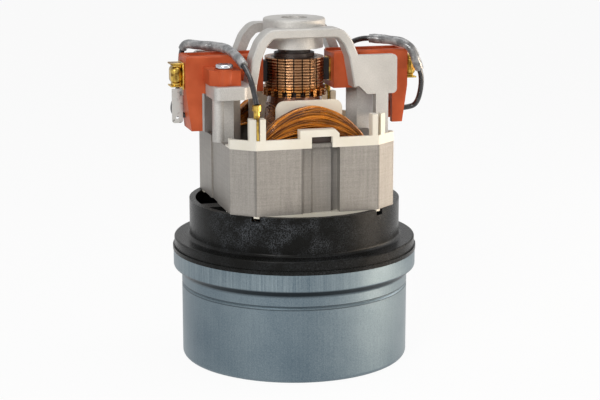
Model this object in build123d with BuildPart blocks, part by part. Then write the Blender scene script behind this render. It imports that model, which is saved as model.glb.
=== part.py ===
"""Two-stage vacuum motor unit: fan can, black diffuser bracket, wound field and cast motor bracket.

All sizes are millimetres. The origin is the middle of the intake eye, in the plane that the can
stands on. +Z runs up the shaft, the brushes lie along X and the two field coils along Y.
The bracket, the field and the brush gear repeat after half a turn about the shaft.
"""

import math
import os

from build123d import *

os.makedirs("parts", exist_ok=True)

# Clearances and cuts that all pieces share
fit_gap = 0.04
slide_gap = 0.1
overrun = 2.0

# Deep-drawn steel fan can
lip_d = 144.0
can_d = 134.3
can_sheet = 1.0
can_corner_r = 2.6
shoulder_z = 51.2
shoulder_rise = 3.8
shoulder_r = 1.6
lip_top_z = 64.8
bead_z = 44.2
bead_depth = 0.7
bead_half = 0.9
eye_d = 44.0
eye_collar_h = 6.0

# Two impellers of aluminium sheet and the guide between them
disc_sheet = 0.8
impeller_d = 122.0
impeller_eye_d = 49.0
first_blade_h = 12.5
second_blade_h = 9.0
blade_sheet = 1.0
blade_count = 7
blade_turn_deg = -62.0
blade_bow_share = 0.4
blade_root_gap = 2.0
blade_tip_gap = 1.0
seal_wall = 3.5
seal_rise = 1.5
seal_run_gap = 1.0
guide_sheet = 1.0
guide_run_gap = 3.0
guide_blade_h = 11.5
guide_blade_count = 8
guide_blade_turn_deg = 48.0
guide_disc_inset = 5.0
guide_hole_d = 22.0

# Shaft and what is clamped on its fan end
shaft_d = 8.0
core_shaft_d = 10.4
shaft_chamfer = 0.8
shaft_top_z = 199.4
nut_af = 13.0
nut_h = 5.0
nut_show = 3.0
washer_d = 20.0
washer_h = 1.5
spacer_wall = 2.2
fan_top_gap = 3.5

# Ball bearings, one size at both ends
bearing_d = 22.0
bearing_w = 7.0
ball_d = 3.96
ball_count = 7
race_gap = 0.12
race_wall = 2.0
cage_half = 2.8
cage_wall = 0.8
pocket_gap = 0.15

# Black diffuser bracket with its flange and collar
collar_d = 124.4
collar_wall = 3.6
collar_top_z = 95.0
collar_foot_r = 2.0
flange_d = 142.8
flange_top_z = 72.5
flange_wall = 3.0
flange_edge_r = 0.8
rim_d = 144.6
rim_h = 2.2
plug_depth = 6.0
plug_wall = 2.6
floor_h = 3.0
hub_d = 34.0
hub_lip_d = 17.0
hub_lip_h = 0.8
slot_count = 8
slot_turn_deg = 31.0
slot_inner_r = 42.0
slot_outer_gap = 1.6
rib_h = 3.0
rib_turn_deg = 3.0
ear_h = 7.0
ear_side = 5.0
notch_w = 5.5
notch_depth = 3.0
notch_tab_w = 3.4

# Retainer plate over the lower bearing
retainer_sheet = 1.0
retainer_d = 32.0
retainer_hole_d = 15.0
retainer_screw_d = 2.6
retainer_screw_circle_d = 27.6
retainer_screw_len = 7.0
retainer_head_d = 4.0
retainer_head_h = 1.4
retainer_screw_count = 3

# Field stack of stamped laminations
stack_h = 37.5
stack_half_x = 48.5
stack_half_y = 49.5
stack_flat_half_x = 36.0
stack_flat_half_y = 39.0
bore_d = 42.0
yoke_front = 8.0
yoke_side = 12.5
neck_half_x = 14.5
shoe_half_x = 19.0
shoe_back_y = 29.5
shoe_tip_y = 12.0
key_left = 9.0
key_right = 13.0
key_panel_left = 3.6
key_step_depth = 1.5
key_depth = 3.0
key_slot_w = 4.4
key_slot_depth = 6.2
side_groove_half = 7.4
side_groove_depth = 0.8

# Armature and commutator
air_gap = 0.6
slot_pairs = 11
slot_mouth_w = 2.0
slot_pocket_d = 6.4
slot_pocket_r = 14.2
winding_gap = 0.3
winding_drop = 15.0
winding_rise = 19.0
winding_d = 38.0
winding_neck_d = 33.0
winding_inner_d = 16.0
commutator_d = 34.6
bar_depth = 3.7
bar_h = 16.5
bar_count = 22
bar_gap = 0.7
hook_h = 4.6
hook_w = 2.2
hook_reach = 1.5
hook_foot = 5.6
commutator_top_z = 178.5
hub_top_d = 23.6
hub_top_h = 2.4
end_washer_d = 19.0
end_washer_h = 2.4

# White insulators of the field
insulator_wall = 1.6
plate_wall = 1.0
rim_wall = 2.0
insulator_rim_h = 5.5
insulator_reach_y = 28.5
insulator_rim_reach_y = 35.0
wall_half_x = 19.6
wall_back_y = 30.4
wall_h = 24.5
wall_drop = 22.0
lower_rim_half_x = 30.0
wall_corner_r = 5.0
tower_h = 17.6
tower_w = 8.8
tower_depth = 6.4
tower_slot_w = 2.3
tower_slot_foot = 5.5
left_tower_x = -34.65
right_tower_x = 36.6
clip_rise = 4.8
clip_depth = 5.5
clip_left_x = 10.4
clip_right_x = 12.6
clip_hole_h = 6.3
clip_corner = 2.4

# Field coils, a plain core under its outer layer
coil_layer = 0.86
coil_reach = 14.74
coil_layer_depth = 6.7
coil_inner_half_x = 17.4
coil_front_y = 39.9
coil_inner_rise = 6.4
coil_corner_r = 1.6
coil_skin_gap = 0.06

# Cast motor bracket
boss_d = 36.3
boss_skirt_d = 34.0
boss_top_z = 201.0
boss_hole_d = 15.2
boss_hole_h = 6.6
boss_skirt_z = 183.9
boss_edge_r = 1.2
wave_washer_h = 1.0
arch_front_y = 25.0
arch_depth = 12.0
arch_top_z = 196.8
arch_thick = 5.4
arch_knee_x = 21.6
arch_shoulder_x = 27.6
arch_shoulder_drop = 6.8
arch_low_x = 31.4
arch_low_drop = 15.9
arch_foot_x = 34.6
arch_knee_r = 9.0
arch_bend_r = 12.0
cast_edge = 0.7
pad_outer_x = 55.5
pad_front_y = 35.0
pad_back_y = 10.6
pad_bend_x = 38.0
pad_inner_x = 29.0
pad_top_z = 166.6
pad_h = 7.4
pad_corner_r = 3.0
pad_edge_r = 0.8
pillar_x = 48.4
pillar_y = 13.6
pillar_r = 4.0
block_inner_x = 40.7
block_front_y = 17.0
block_back_y = 6.0
block_web_x = 35.0
block_web_y = 10.0
plate_inner_x = 30.0
plate_outer_x = 55.0
plate_sheet = 4.0
plate_low_z = 158.0
plate_top_z = 180.7
plate_cut_x = 37.0
plate_cut_z = 164.8
plate_corner_r = 2.6
post_inner_x = 42.3
post_outer_x = 49.8
post_depth = 6.6
shelf_h = 2.6
shelf_reach = 18.0

# Long screws that clamp bracket, field and diffuser bracket together
frame_screw_d = 4.0
frame_screw_x = 44.6
frame_screw_y = 12.4
frame_screw_bite = 18.0
frame_head_d = 7.0
frame_head_h = 2.8

# Brush gear
holder_inner_x = 21.3
holder_outer_x = 66.7
holder_half_y = 10.0
holder_low_z = 160.0
holder_top_z = 181.5
holder_edge_r = 1.0
holder_groove_half = 6.6
holder_groove_depth = 1.4
leg_inner_x = 57.4
leg_low_z = 138.4
leg_taper = 3.0
leg_pocket_half_y = 6.5
leg_pocket_x = 4.2
leg_pocket_h = 12.0
lug_x = 48.0
lug_half_x = 8.6
lug_side_y = 25.6
lug_front_y = 30.0
lug_ridge_x = 51.8
lug_h = 8.6
lug_boss_d = 11.2
lug_boss_h = 0.8
lug_screw_y = 25.3
holder_screw_d = 3.6
holder_screw_bite = 7.0
holder_head_d = 10.2
holder_head_h = 2.6
brush_axis_z = 170.5
tube_out_y = 8.0
tube_out_z = 13.6
tube_wall = 0.6
tube_show = 1.1
brush_len = 28.0
brush_arc_gap = 0.06
spring_d = 5.6
spring_wall = 0.7
spring_gap = 0.1
cap_len = 7.6
cap_half_y = 5.5
cap_half_z = 7.1
cap_plug = 2.4
cap_edge_r = 2.2
cap_flange_reach = 1.4
cap_flange_h = 1.0
tab_foot_h = 3.5
tab_w = 6.3
tab_sheet = 0.8
tab_low_z = 142.0
tab_hole_d = 1.8
tab_corner_r = 1.6

# Leads between the brush holders and the field
lead_d = 3.2
sleeve_d = 6.2
lead_z = 145.6
lead_y = 4.5
crimp_d = 5.4
crimp_h = 3.2
crimp_cup_d = 4.0
crimp_cup_h = 0.9
crimp_neck_d = 3.6
crimp_neck_h = 4.4
crimp_blade_w = 1.4
crimp_blade_depth = 4.4

# Sizes that follow from the ones above
can_r = can_d / 2
lip_r = lip_d / 2
eye_r = eye_d / 2
shaft_r = shaft_d / 2
collar_r = collar_d / 2
collar_inner_r = collar_r - collar_wall
flange_r = flange_d / 2
commutator_r = commutator_d / 2
bearing_r = bearing_d / 2
stack_low_z = collar_top_z
stack_top_z = stack_low_z + stack_h
stack_mid_z = stack_low_z + stack_h / 2
yoke_inner_y = stack_half_y - yoke_front
yoke_inner_x = stack_half_x - yoke_side
stack_outline = [
    (stack_flat_half_x, stack_half_y),
    (stack_half_x, stack_flat_half_y),
    (stack_half_x, -stack_flat_half_y),
    (stack_flat_half_x, -stack_half_y),
    (-stack_flat_half_x, -stack_half_y),
    (-stack_half_x, -stack_flat_half_y),
    (-stack_half_x, stack_flat_half_y),
    (-stack_flat_half_x, stack_half_y),
]


def export(piece, name):
    """Label a finished piece and write it under its own name."""
    piece.part.label = name
    export_step(piece.part, "parts/" + name + ".step")


def on_circle(radius, turn_deg):
    """A point in plan, from its radius and its turn from +X."""
    turn = math.radians(turn_deg)
    return (radius * math.cos(turn), radius * math.sin(turn))


def ring(outer_r, inner_r, low_z, high_z, mode=Mode.ADD):
    """A flat ring or disc about the shaft between two heights."""
    with BuildSketch(Plane.XY.offset(low_z)) as face:
        Circle(outer_r)
        if inner_r > 0:
            Circle(inner_r, mode=Mode.SUBTRACT)
    extrude(face.sketch, amount=high_z - low_z, mode=mode)


def block(x_range, y_range, z_range, mode=Mode.ADD):
    """A block between two values along each axis."""
    centre = [sum(span) / 2 for span in (x_range, y_range, z_range)]
    with Locations(Location(tuple(centre))):
        Box(*[abs(span[1] - span[0]) for span in (x_range, y_range, z_range)], mode=mode)


def plan(points, low_z, high_z, mode=Mode.ADD):
    """A prism over an outline in plan between two heights."""
    with BuildSketch(Plane.XY.offset(low_z)) as face:
        Polygon(*points, align=None)
    extrude(face.sketch, amount=high_z - low_z, mode=mode)


def post(radius, x, y, low_z, high_z, mode=Mode.ADD):
    """An upright cylinder or hole between two heights."""
    with BuildSketch(Plane.XY.offset(low_z)) as face:
        with Locations((x, y)):
            Circle(radius)
    extrude(face.sketch, amount=high_z - low_z, mode=mode)


def left_of(points, gap):
    """An open outline of straight runs, moved by a gap to the left of its direction."""
    moved = []
    for index, (x, z) in enumerate(points):
        runs = []
        if index > 0:
            runs.append((x - points[index - 1][0], z - points[index - 1][1]))
        if index < len(points) - 1:
            runs.append((points[index + 1][0] - x, points[index + 1][1] - z))
        sides = [(-dz / math.hypot(dx, dz), dx / math.hypot(dx, dz)) for dx, dz in runs]
        side_x = sum(side[0] for side in sides) / len(sides)
        side_z = sum(side[1] for side in sides) / len(sides)
        reach = gap / (side_x ** 2 + side_z ** 2)
        moved.append((x + side_x * reach, z + side_z * reach))
    return moved


def half_turned(piece, name):
    """The same piece on the other side of the shaft."""
    with BuildPart() as twin:
        add(piece.part.rotate(Axis.Z, 180))
    export(twin, name)


# Fan can: eye collar, bottom, wall with one rolled bead, shoulder and lip
can_outside = [
    (eye_r, eye_collar_h),
    (eye_r, 0),
    (can_r, 0),
    (can_r, bead_z - bead_half),
    (can_r - bead_depth, bead_z),
    (can_r, bead_z + bead_half),
    (can_r, shoulder_z),
    (lip_r, shoulder_z + shoulder_rise),
    (lip_r, lip_top_z),
]
can_inside = left_of(can_outside, can_sheet)
with BuildPart() as fan_can:
    with BuildSketch(Plane.XZ):
        with BuildLine():
            outside = FilletPolyline(*can_outside, radius=[0, can_corner_r, 0, 0, 0, shoulder_r, shoulder_r])
            inner_shoulder = [shoulder_r + can_sheet, shoulder_r - can_sheet]
            inner_corners = [0, can_corner_r - can_sheet, 0, 0, 0]
            inside = FilletPolyline(*can_inside, radius=inner_corners + inner_shoulder)
            Line(outside @ 0, inside @ 0)
            Line(outside @ 1, inside @ 1)
        make_face()
    revolve(axis=Axis.Z)
export(fan_can, "fan_can")

# Slippery ring round the eye collar, which the first impeller runs against
seal_inner_r = eye_r + can_sheet + fit_gap
seal_top_z = eye_collar_h + seal_rise
with BuildPart() as inlet_seal:
    ring(seal_inner_r + seal_wall, seal_inner_r, can_sheet, seal_top_z)
export(inlet_seal, "inlet_seal")


def impeller(low_z, blade_h):
    """Two sheet discs with backward-curved blades between them."""
    impeller_r = impeller_d / 2
    eye_hole_r = impeller_eye_d / 2
    blade_low_z = low_z + disc_sheet
    blade_top_z = blade_low_z + blade_h
    ring(impeller_r, eye_hole_r, low_z, blade_low_z)
    ring(impeller_r, shaft_r + fit_gap, blade_top_z, blade_top_z + disc_sheet)
    curved_blades(blade_count, eye_hole_r + blade_root_gap, impeller_r - blade_tip_gap,
                  blade_turn_deg, blade_low_z, blade_top_z)


def curved_blades(count, inner_r, outer_r, turn_deg, low_z, high_z):
    """Sheet blades that each follow one arc in plan."""
    with BuildSketch(Plane.XY.offset(low_z)) as blades:
        for index in range(count):
            start_deg = index * 360 / count
            with BuildLine():
                ThreePointArc(
                    on_circle(inner_r, start_deg),
                    on_circle((inner_r + outer_r) / 2, start_deg + turn_deg * blade_bow_share),
                    on_circle(outer_r, start_deg + turn_deg),
                )
            trace(line_width=blade_sheet)
    extrude(blades.sketch, amount=high_z - low_z)


# Heights of the fan pieces, from the eye upwards to the lower bearing
first_low_z = seal_top_z + seal_run_gap
first_top_z = first_low_z + disc_sheet + first_blade_h + disc_sheet
guide_top_z = can_inside[5][1] + guide_sheet
guide_low_z = guide_top_z - guide_sheet - guide_blade_h - guide_sheet
second_low_z = guide_top_z + guide_run_gap
second_top_z = second_low_z + disc_sheet + second_blade_h + disc_sheet
floor_low_z = second_top_z + fan_top_gap
floor_top_z = floor_low_z + floor_h
bearing_low_z = floor_top_z + hub_lip_h
bearing_top_z = bearing_low_z + bearing_w
nut_top_z = first_top_z - disc_sheet - washer_h
nut_low_z = nut_top_z - nut_h

with BuildPart() as impeller_1:
    impeller(first_low_z, first_blade_h)
export(impeller_1, "impeller_1")

with BuildPart() as impeller_2:
    impeller(second_low_z, second_blade_h)
export(impeller_2, "impeller_2")

# Guide plate between the stages, seated on the can's bead
with BuildPart() as stage_guide:
    guide_r = can_r - can_sheet - fit_gap
    guide_disc_r = guide_r - guide_disc_inset
    ring(guide_r, impeller_eye_d / 2, guide_top_z - guide_sheet, guide_top_z)
    ring(guide_disc_r, guide_hole_d / 2, guide_low_z, guide_low_z + guide_sheet)
    curved_blades(guide_blade_count, impeller_eye_d / 2 + blade_root_gap, guide_disc_r - blade_tip_gap,
                  guide_blade_turn_deg, guide_low_z + guide_sheet, guide_top_z - guide_sheet)
export(stage_guide, "stage_guide")

# Spacers, washers and nut that clamp the impellers on the shaft
with BuildPart() as fan_spacer_lower:
    ring(shaft_r + spacer_wall, shaft_r + fit_gap,
         first_top_z + washer_h, second_top_z - disc_sheet - washer_h)
export(fan_spacer_lower, "fan_spacer_lower")

with BuildPart() as fan_spacer_upper:
    ring(shaft_r + spacer_wall, shaft_r + fit_gap, second_top_z + washer_h, bearing_low_z)
export(fan_spacer_upper, "fan_spacer_upper")

with BuildPart() as fan_washers:
    for low_z in (nut_top_z, first_top_z, second_top_z - disc_sheet - washer_h, second_top_z):
        ring(washer_d / 2, shaft_r + fit_gap, low_z, low_z + washer_h)
export(fan_washers, "fan_washers")

with BuildPart() as fan_nut:
    with BuildSketch(Plane.XY.offset(nut_low_z)):
        RegularPolygon(nut_af / 2, 6, major_radius=False)
        Circle(shaft_r + fit_gap, mode=Mode.SUBTRACT)
    extrude(amount=nut_h)
export(fan_nut, "fan_nut")


def ball_bearing(name, low_z):
    """One bearing as four pieces: outer ring, inner ring, balls and cage."""
    mid_z = low_z + bearing_w / 2
    pitch_r = (shaft_r + bearing_r) / 2
    ball_r = ball_d / 2
    seats = [on_circle(pitch_r, index * 360 / ball_count) + (mid_z,) for index in range(ball_count)]
    with BuildPart() as outer_ring:
        ring(bearing_r, bearing_r - race_wall, low_z, low_z + bearing_w)
        with Locations((0, 0, mid_z)):
            Torus(pitch_r, ball_r + race_gap, mode=Mode.SUBTRACT)
    export(outer_ring, name + "_outer_ring")
    with BuildPart() as inner_ring:
        ring(shaft_r + race_wall, shaft_r + fit_gap, low_z, low_z + bearing_w)
        with Locations((0, 0, mid_z)):
            Torus(pitch_r, ball_r + race_gap, mode=Mode.SUBTRACT)
    export(inner_ring, name + "_inner_ring")
    with BuildPart() as balls:
        with Locations(*seats):
            Sphere(ball_r)
    export(balls, name + "_balls")
    with BuildPart() as cage:
        ring(pitch_r + cage_wall / 2, pitch_r - cage_wall / 2, mid_z - cage_half, mid_z + cage_half)
        for seat in seats:
            with BuildSketch(Plane(origin=seat, z_dir=(seat[0], seat[1], 0))) as pocket:
                Circle(ball_r + pocket_gap)
            extrude(pocket.sketch, amount=cage_wall, both=True, mode=Mode.SUBTRACT)
    export(cage, name + "_cage")


upper_bearing_low_z = boss_top_z - boss_hole_h - wave_washer_h - bearing_w
ball_bearing("lower_bearing", bearing_low_z)
ball_bearing("upper_bearing", upper_bearing_low_z)

with BuildPart() as wave_washer:
    ring(bearing_r - fit_gap, bearing_r - race_wall, upper_bearing_low_z + bearing_w,
         upper_bearing_low_z + bearing_w + wave_washer_h)
export(wave_washer, "wave_washer")

# Shaft: thin at the fans and the bearings, thicker between them
core_r = core_shaft_d / 2
shaft_low_z = nut_low_z - nut_show
with BuildPart() as shaft:
    ring(shaft_r, 0, shaft_low_z, shaft_top_z)
    ring(core_r, 0, bearing_top_z, upper_bearing_low_z)
    chamfer(shaft.edges().group_by(Axis.Z)[0], shaft_chamfer)
    chamfer(shaft.edges().group_by(Axis.Z)[-1], shaft_chamfer)
export(shaft, "shaft")


def sector(outer_r, inner_r, start_deg, turn_deg, low_z, high_z, mode=Mode.ADD):
    """Part of a ring about the shaft, from one turn angle on."""
    with BuildSketch(Plane.XY.offset(low_z)) as face:
        with BuildLine():
            CenterArc((0, 0), outer_r, start_deg, turn_deg)
            CenterArc((0, 0), inner_r, start_deg, turn_deg)
            Line(on_circle(inner_r, start_deg), on_circle(outer_r, start_deg))
            Line(on_circle(inner_r, start_deg + turn_deg), on_circle(outer_r, start_deg + turn_deg))
        make_face()
    extrude(face.sketch, amount=high_z - low_z, mode=mode)


# Turn angles of the four corners of the stack that rest on the collar
corner_turns = [math.degrees(math.atan2(side_y * stack_half_y, side_x * stack_flat_half_x))
                for side_x in (-1, 1) for side_y in (-1, 1)]
notch_turn_deg = math.degrees(notch_w / collar_r)
tab_turn_deg = math.degrees(notch_tab_w / collar_r)
frame_screw_r = frame_screw_d / 2
hub_r = hub_d / 2
retainer_screw_r = retainer_screw_d / 2
retainer_seats = [on_circle(retainer_screw_circle_d / 2, index * 360 / retainer_screw_count)
                  for index in range(retainer_screw_count)]

# Diffuser bracket: plug in the lip, flange, collar, floor with air slots, bearing hub and screw ears
with BuildPart() as diffuser_bracket:
    plug_r = lip_r - can_sheet - fit_gap
    ring(flange_r, flange_r - flange_wall, lip_top_z, flange_top_z)
    ring(rim_d / 2, flange_r - flange_wall, lip_top_z, lip_top_z + rim_h)
    ring(plug_r, plug_r - plug_wall, lip_top_z - plug_depth, lip_top_z + rim_h)
    ring(flange_r, collar_inner_r, flange_top_z - flange_wall, flange_top_z)
    flange_edges = diffuser_bracket.edges().filter_by(GeomType.CIRCLE).group_by(Axis.Z)[-1]
    fillet(flange_edges.sort_by(SortBy.RADIUS)[-1], flange_edge_r)
    ring(collar_r, collar_inner_r, floor_low_z, collar_top_z)
    collar_feet = [
        edge for edge in diffuser_bracket.edges().filter_by(GeomType.CIRCLE)
        if abs(edge.radius - collar_r) < fit_gap and abs(edge.center().Z - flange_top_z) < fit_gap
    ]
    fillet(collar_feet, collar_foot_r)
    ring(collar_inner_r + collar_wall / 2, hub_lip_d / 2, floor_low_z, floor_top_z)
    ring(hub_r, hub_lip_d / 2, floor_low_z, bearing_low_z)
    ring(hub_r, bearing_r + fit_gap, bearing_low_z, bearing_top_z)
    for index in range(slot_count):
        slot_deg = (index + 0.5) * 360 / slot_count - slot_turn_deg / 2
        sector(collar_inner_r - slot_outer_gap, slot_inner_r, slot_deg, slot_turn_deg,
               floor_low_z - overrun, floor_top_z + overrun, Mode.SUBTRACT)
        rib_deg = index * 360 / slot_count - rib_turn_deg / 2
        sector(collar_inner_r + collar_wall / 2, hub_r - overrun, rib_deg, rib_turn_deg,
               floor_top_z, bearing_low_z + rib_h)
    for side in (-1, 1):
        ear_reach = math.sqrt(collar_inner_r ** 2 - (frame_screw_y - ear_side) ** 2) + collar_wall / 4
        block((side * (frame_screw_x - ear_side), side * ear_reach),
              (side * (frame_screw_y - ear_side), side * (frame_screw_y + ear_side)),
              (collar_top_z - ear_h, collar_top_z))
        post(frame_screw_r + fit_gap, side * frame_screw_x, side * frame_screw_y,
             collar_top_z - ear_h - overrun, collar_top_z + overrun, Mode.SUBTRACT)
    for turn_deg in corner_turns:
        sector(collar_r + overrun, collar_inner_r - overrun, turn_deg - notch_turn_deg / 2, notch_turn_deg,
               collar_top_z - notch_depth, collar_top_z + overrun, Mode.SUBTRACT)
    for x, y in retainer_seats:
        post(retainer_screw_r + fit_gap, x, y, bearing_top_z - retainer_screw_len, bearing_top_z + overrun,
             Mode.SUBTRACT)
export(diffuser_bracket, "diffuser_bracket")

with BuildPart() as bearing_retainer:
    ring(retainer_d / 2, retainer_hole_d / 2, bearing_top_z, bearing_top_z + retainer_sheet)
    for x, y in retainer_seats:
        post(retainer_screw_r + fit_gap, x, y,
             bearing_top_z - overrun, bearing_top_z + overrun, Mode.SUBTRACT)
export(bearing_retainer, "bearing_retainer")

with BuildPart() as retainer_screws:
    for x, y in retainer_seats:
        head_z = bearing_top_z + retainer_sheet
        post(retainer_screw_r, x, y, head_z - retainer_screw_len, head_z)
        post(retainer_head_d / 2, x, y, head_z, head_z + retainer_head_h)
export(retainer_screws, "retainer_screws")

# Field stack: frame of two yokes and two poles round the armature, with its key seam and screw holes
with BuildPart() as field_stack:
    with BuildSketch(Plane.XY.offset(stack_low_z)):
        Polygon(*stack_outline, align=None)
        for side in (-1, 1):
            with Locations((side * (neck_half_x + yoke_inner_x) / 2, 0)):
                Rectangle(yoke_inner_x - neck_half_x, 2 * yoke_inner_y, mode=Mode.SUBTRACT)
        for side in (-1, 1):
            with Locations((0, side * (shoe_back_y + shoe_tip_y) / 2)):
                Rectangle(2 * shoe_half_x, shoe_back_y - shoe_tip_y)
        with Locations((0, 0)):
            Circle(bore_d / 2, mode=Mode.SUBTRACT)
            Rectangle(2 * shoe_half_x, 2 * shoe_tip_y, mode=Mode.SUBTRACT)
        for side in (-1, 1):
            face_y = side * stack_half_y
            with Locations((side * (key_left + key_panel_left) / 2, face_y - side * key_step_depth / 2)):
                Rectangle(key_left - key_panel_left, key_step_depth, mode=Mode.SUBTRACT)
            panel_right = key_right - key_slot_w
            with Locations((side * (key_panel_left - panel_right) / 2, face_y - side * key_depth / 2)):
                Rectangle(key_panel_left + panel_right, key_depth, mode=Mode.SUBTRACT)
            with Locations((-side * (panel_right + key_right) / 2, face_y - side * key_slot_depth / 2)):
                Rectangle(key_slot_w, key_slot_depth, mode=Mode.SUBTRACT)
            with Locations((side * (stack_half_x - side_groove_depth / 2), 0)):
                Rectangle(side_groove_depth, 2 * side_groove_half, mode=Mode.SUBTRACT)
            with Locations((side * frame_screw_x, side * frame_screw_y)):
                Circle(frame_screw_r + fit_gap, mode=Mode.SUBTRACT)
    extrude(amount=stack_h)
export(field_stack, "field_stack")

# Long screws from under the collar's ears up into the bracket's pillars
with BuildPart() as frame_screws:
    for side in (-1, 1):
        ear_low_z = collar_top_z - ear_h
        post(frame_screw_r, side * frame_screw_x, side * frame_screw_y,
             ear_low_z, stack_top_z + frame_screw_bite)
        post(frame_head_d / 2, side * frame_screw_x, side * frame_screw_y,
             ear_low_z - frame_head_h, ear_low_z)
export(frame_screws, "frame_screws")

# Armature stack with open slots
armature_r = bore_d / 2 - air_gap
with BuildPart() as armature_stack:
    with BuildSketch(Plane.XY.offset(stack_low_z)):
        Circle(armature_r)
        Circle(core_r + fit_gap, mode=Mode.SUBTRACT)
        for index in range(slot_pairs):
            turn_deg = index * 360 / slot_pairs
            with Locations(on_circle(slot_pocket_r, turn_deg)):
                Circle(slot_pocket_d / 2, mode=Mode.SUBTRACT)
            with Locations(Location(on_circle((slot_pocket_r + armature_r) / 2, turn_deg) + (0,), turn_deg)):
                Rectangle(armature_r - slot_pocket_r + slot_mouth_w, slot_mouth_w, mode=Mode.SUBTRACT)
    extrude(amount=stack_h)
export(armature_stack, "armature_stack")

# Armature winding: both end turns and the bundles in the slots, plain because nothing of it shows
winding_top_z = commutator_top_z - bar_h - hook_foot - fit_gap
with BuildPart() as armature_winding:
    winding_r = winding_d / 2
    slope = (winding_d - winding_neck_d) / 2
    with BuildSketch(Plane.XZ) as end_turns:
        Polygon(
            (winding_inner_d / 2, stack_top_z + winding_gap),
            (winding_r - slope, stack_top_z + winding_gap),
            (winding_r, stack_top_z + slope),
            (winding_r, stack_top_z + winding_rise - slope),
            (winding_neck_d / 2, winding_top_z - slope),
            (winding_neck_d / 2 - slope, winding_top_z),
            (winding_inner_d / 2, winding_top_z),
            align=None,
        )
        Polygon(
            (winding_inner_d / 2, stack_low_z - winding_gap),
            (winding_r - slope, stack_low_z - winding_gap),
            (winding_r, stack_low_z - slope),
            (winding_r, stack_low_z - winding_drop + slope),
            (winding_r - slope, stack_low_z - winding_drop),
            (winding_inner_d / 2, stack_low_z - winding_drop),
            align=None,
        )
    revolve(end_turns.sketch, axis=Axis.Z)
    for index in range(slot_pairs):
        x, y = on_circle(slot_pocket_r, index * 360 / slot_pairs)
        post(slot_pocket_d / 2 - winding_gap, x, y, stack_low_z - slope, stack_top_z + slope)
export(armature_winding, "armature_winding")

# Commutator: moulded hub, copper bars with their hooks, and the washer above it
bar_low_z = commutator_top_z - bar_h
hub_outer_r = commutator_r - bar_depth - fit_gap
with BuildPart() as commutator_hub:
    ring(hub_outer_r, core_r + fit_gap, bar_low_z - hook_foot + fit_gap, commutator_top_z)
    ring(hub_top_d / 2, core_r + fit_gap, commutator_top_z, commutator_top_z + hub_top_h)
export(commutator_hub, "commutator_hub")

bar_turn_deg = 360 / bar_count - math.degrees(bar_gap / commutator_r)
hook_turn_deg = math.degrees(hook_w / commutator_r)
with BuildPart() as commutator_bars:
    for index in range(bar_count):
        centre_deg = index * 360 / bar_count
        sector(commutator_r, commutator_r - bar_depth, centre_deg - bar_turn_deg / 2, bar_turn_deg,
               bar_low_z - hook_foot / 2, commutator_top_z)
        sector(commutator_r + hook_reach, commutator_r - hook_reach,
               centre_deg - hook_turn_deg / 2, hook_turn_deg,
               bar_low_z - hook_foot, bar_low_z - hook_foot + hook_h)
export(commutator_bars, "commutator_bars")

with BuildPart() as commutator_washer:
    washer_low_z = commutator_top_z + hub_top_h
    ring(end_washer_d / 2, core_r + fit_gap, washer_low_z, washer_low_z + end_washer_h)
export(commutator_washer, "commutator_washer")

# Outlines that the insulators share: the stack's outline drawn in, and the lining inside the windows
insulator_outline = [
    (x - math.copysign(fit_gap, x), y - math.copysign(fit_gap, y))
    for x, y in stack_outline
]
lining_low_x = neck_half_x + fit_gap
lining_high_x = coil_inner_half_x - coil_corner_r
corner_reach = math.hypot(stack_flat_half_x, stack_half_y)


def insulator_plate(low_z):
    """Outline of a plate on the stack, open where the coil's legs are."""
    with BuildSketch(Plane.XY.offset(low_z)) as face:
        Polygon(*insulator_outline, align=None)
        with Locations((0, stack_half_y - insulator_reach_y)):
            Rectangle(2 * stack_half_x, 2 * stack_half_y, mode=Mode.SUBTRACT)
        for side in (-1, 1):
            with Locations((side * (lining_high_x + yoke_inner_x) / 2, 0)):
                Rectangle(yoke_inner_x - lining_high_x, 2 * yoke_inner_y, mode=Mode.SUBTRACT)
    return face


def insulator_lining(low_z, high_z):
    """Two walls in the windows, one each side of the pole's neck."""
    for side in (-1, 1):
        block((side * lining_low_x, side * lining_high_x), (-yoke_inner_y + fit_gap, -shoe_back_y - fit_gap),
              (low_z, high_z))


def insulator_wall_plate(low_z, high_z, rounded):
    """Upright plate between the coil and the armature, rounded at its free corners."""
    with BuildSketch(Plane.XZ.offset(wall_back_y)) as face:
        with Locations((0, (low_z + high_z) / 2)):
            Rectangle(2 * wall_half_x, high_z - low_z)
        fillet(face.vertices().group_by(Axis.Y)[rounded], wall_corner_r)
    extrude(face.sketch, amount=insulator_wall)


def tower(x):
    """Terminal tower on the rim, with a slot from the front to the back."""
    top_z = stack_top_z + tower_h
    foot_z = stack_top_z + tower_slot_foot
    with BuildSketch(Plane.XY.offset(stack_top_z)) as face:
        with Locations((x, -stack_half_y + fit_gap + tower_depth / 2)):
            Rectangle(tower_w, tower_depth)
        Polygon(*insulator_outline, align=None, mode=Mode.INTERSECT)
    extrude(face.sketch, amount=tower_h)
    block((x - tower_slot_w / 2, x + tower_slot_w / 2), (-stack_half_y - overrun, -yoke_inner_y),
          (foot_z, top_z + overrun), Mode.SUBTRACT)


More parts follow.
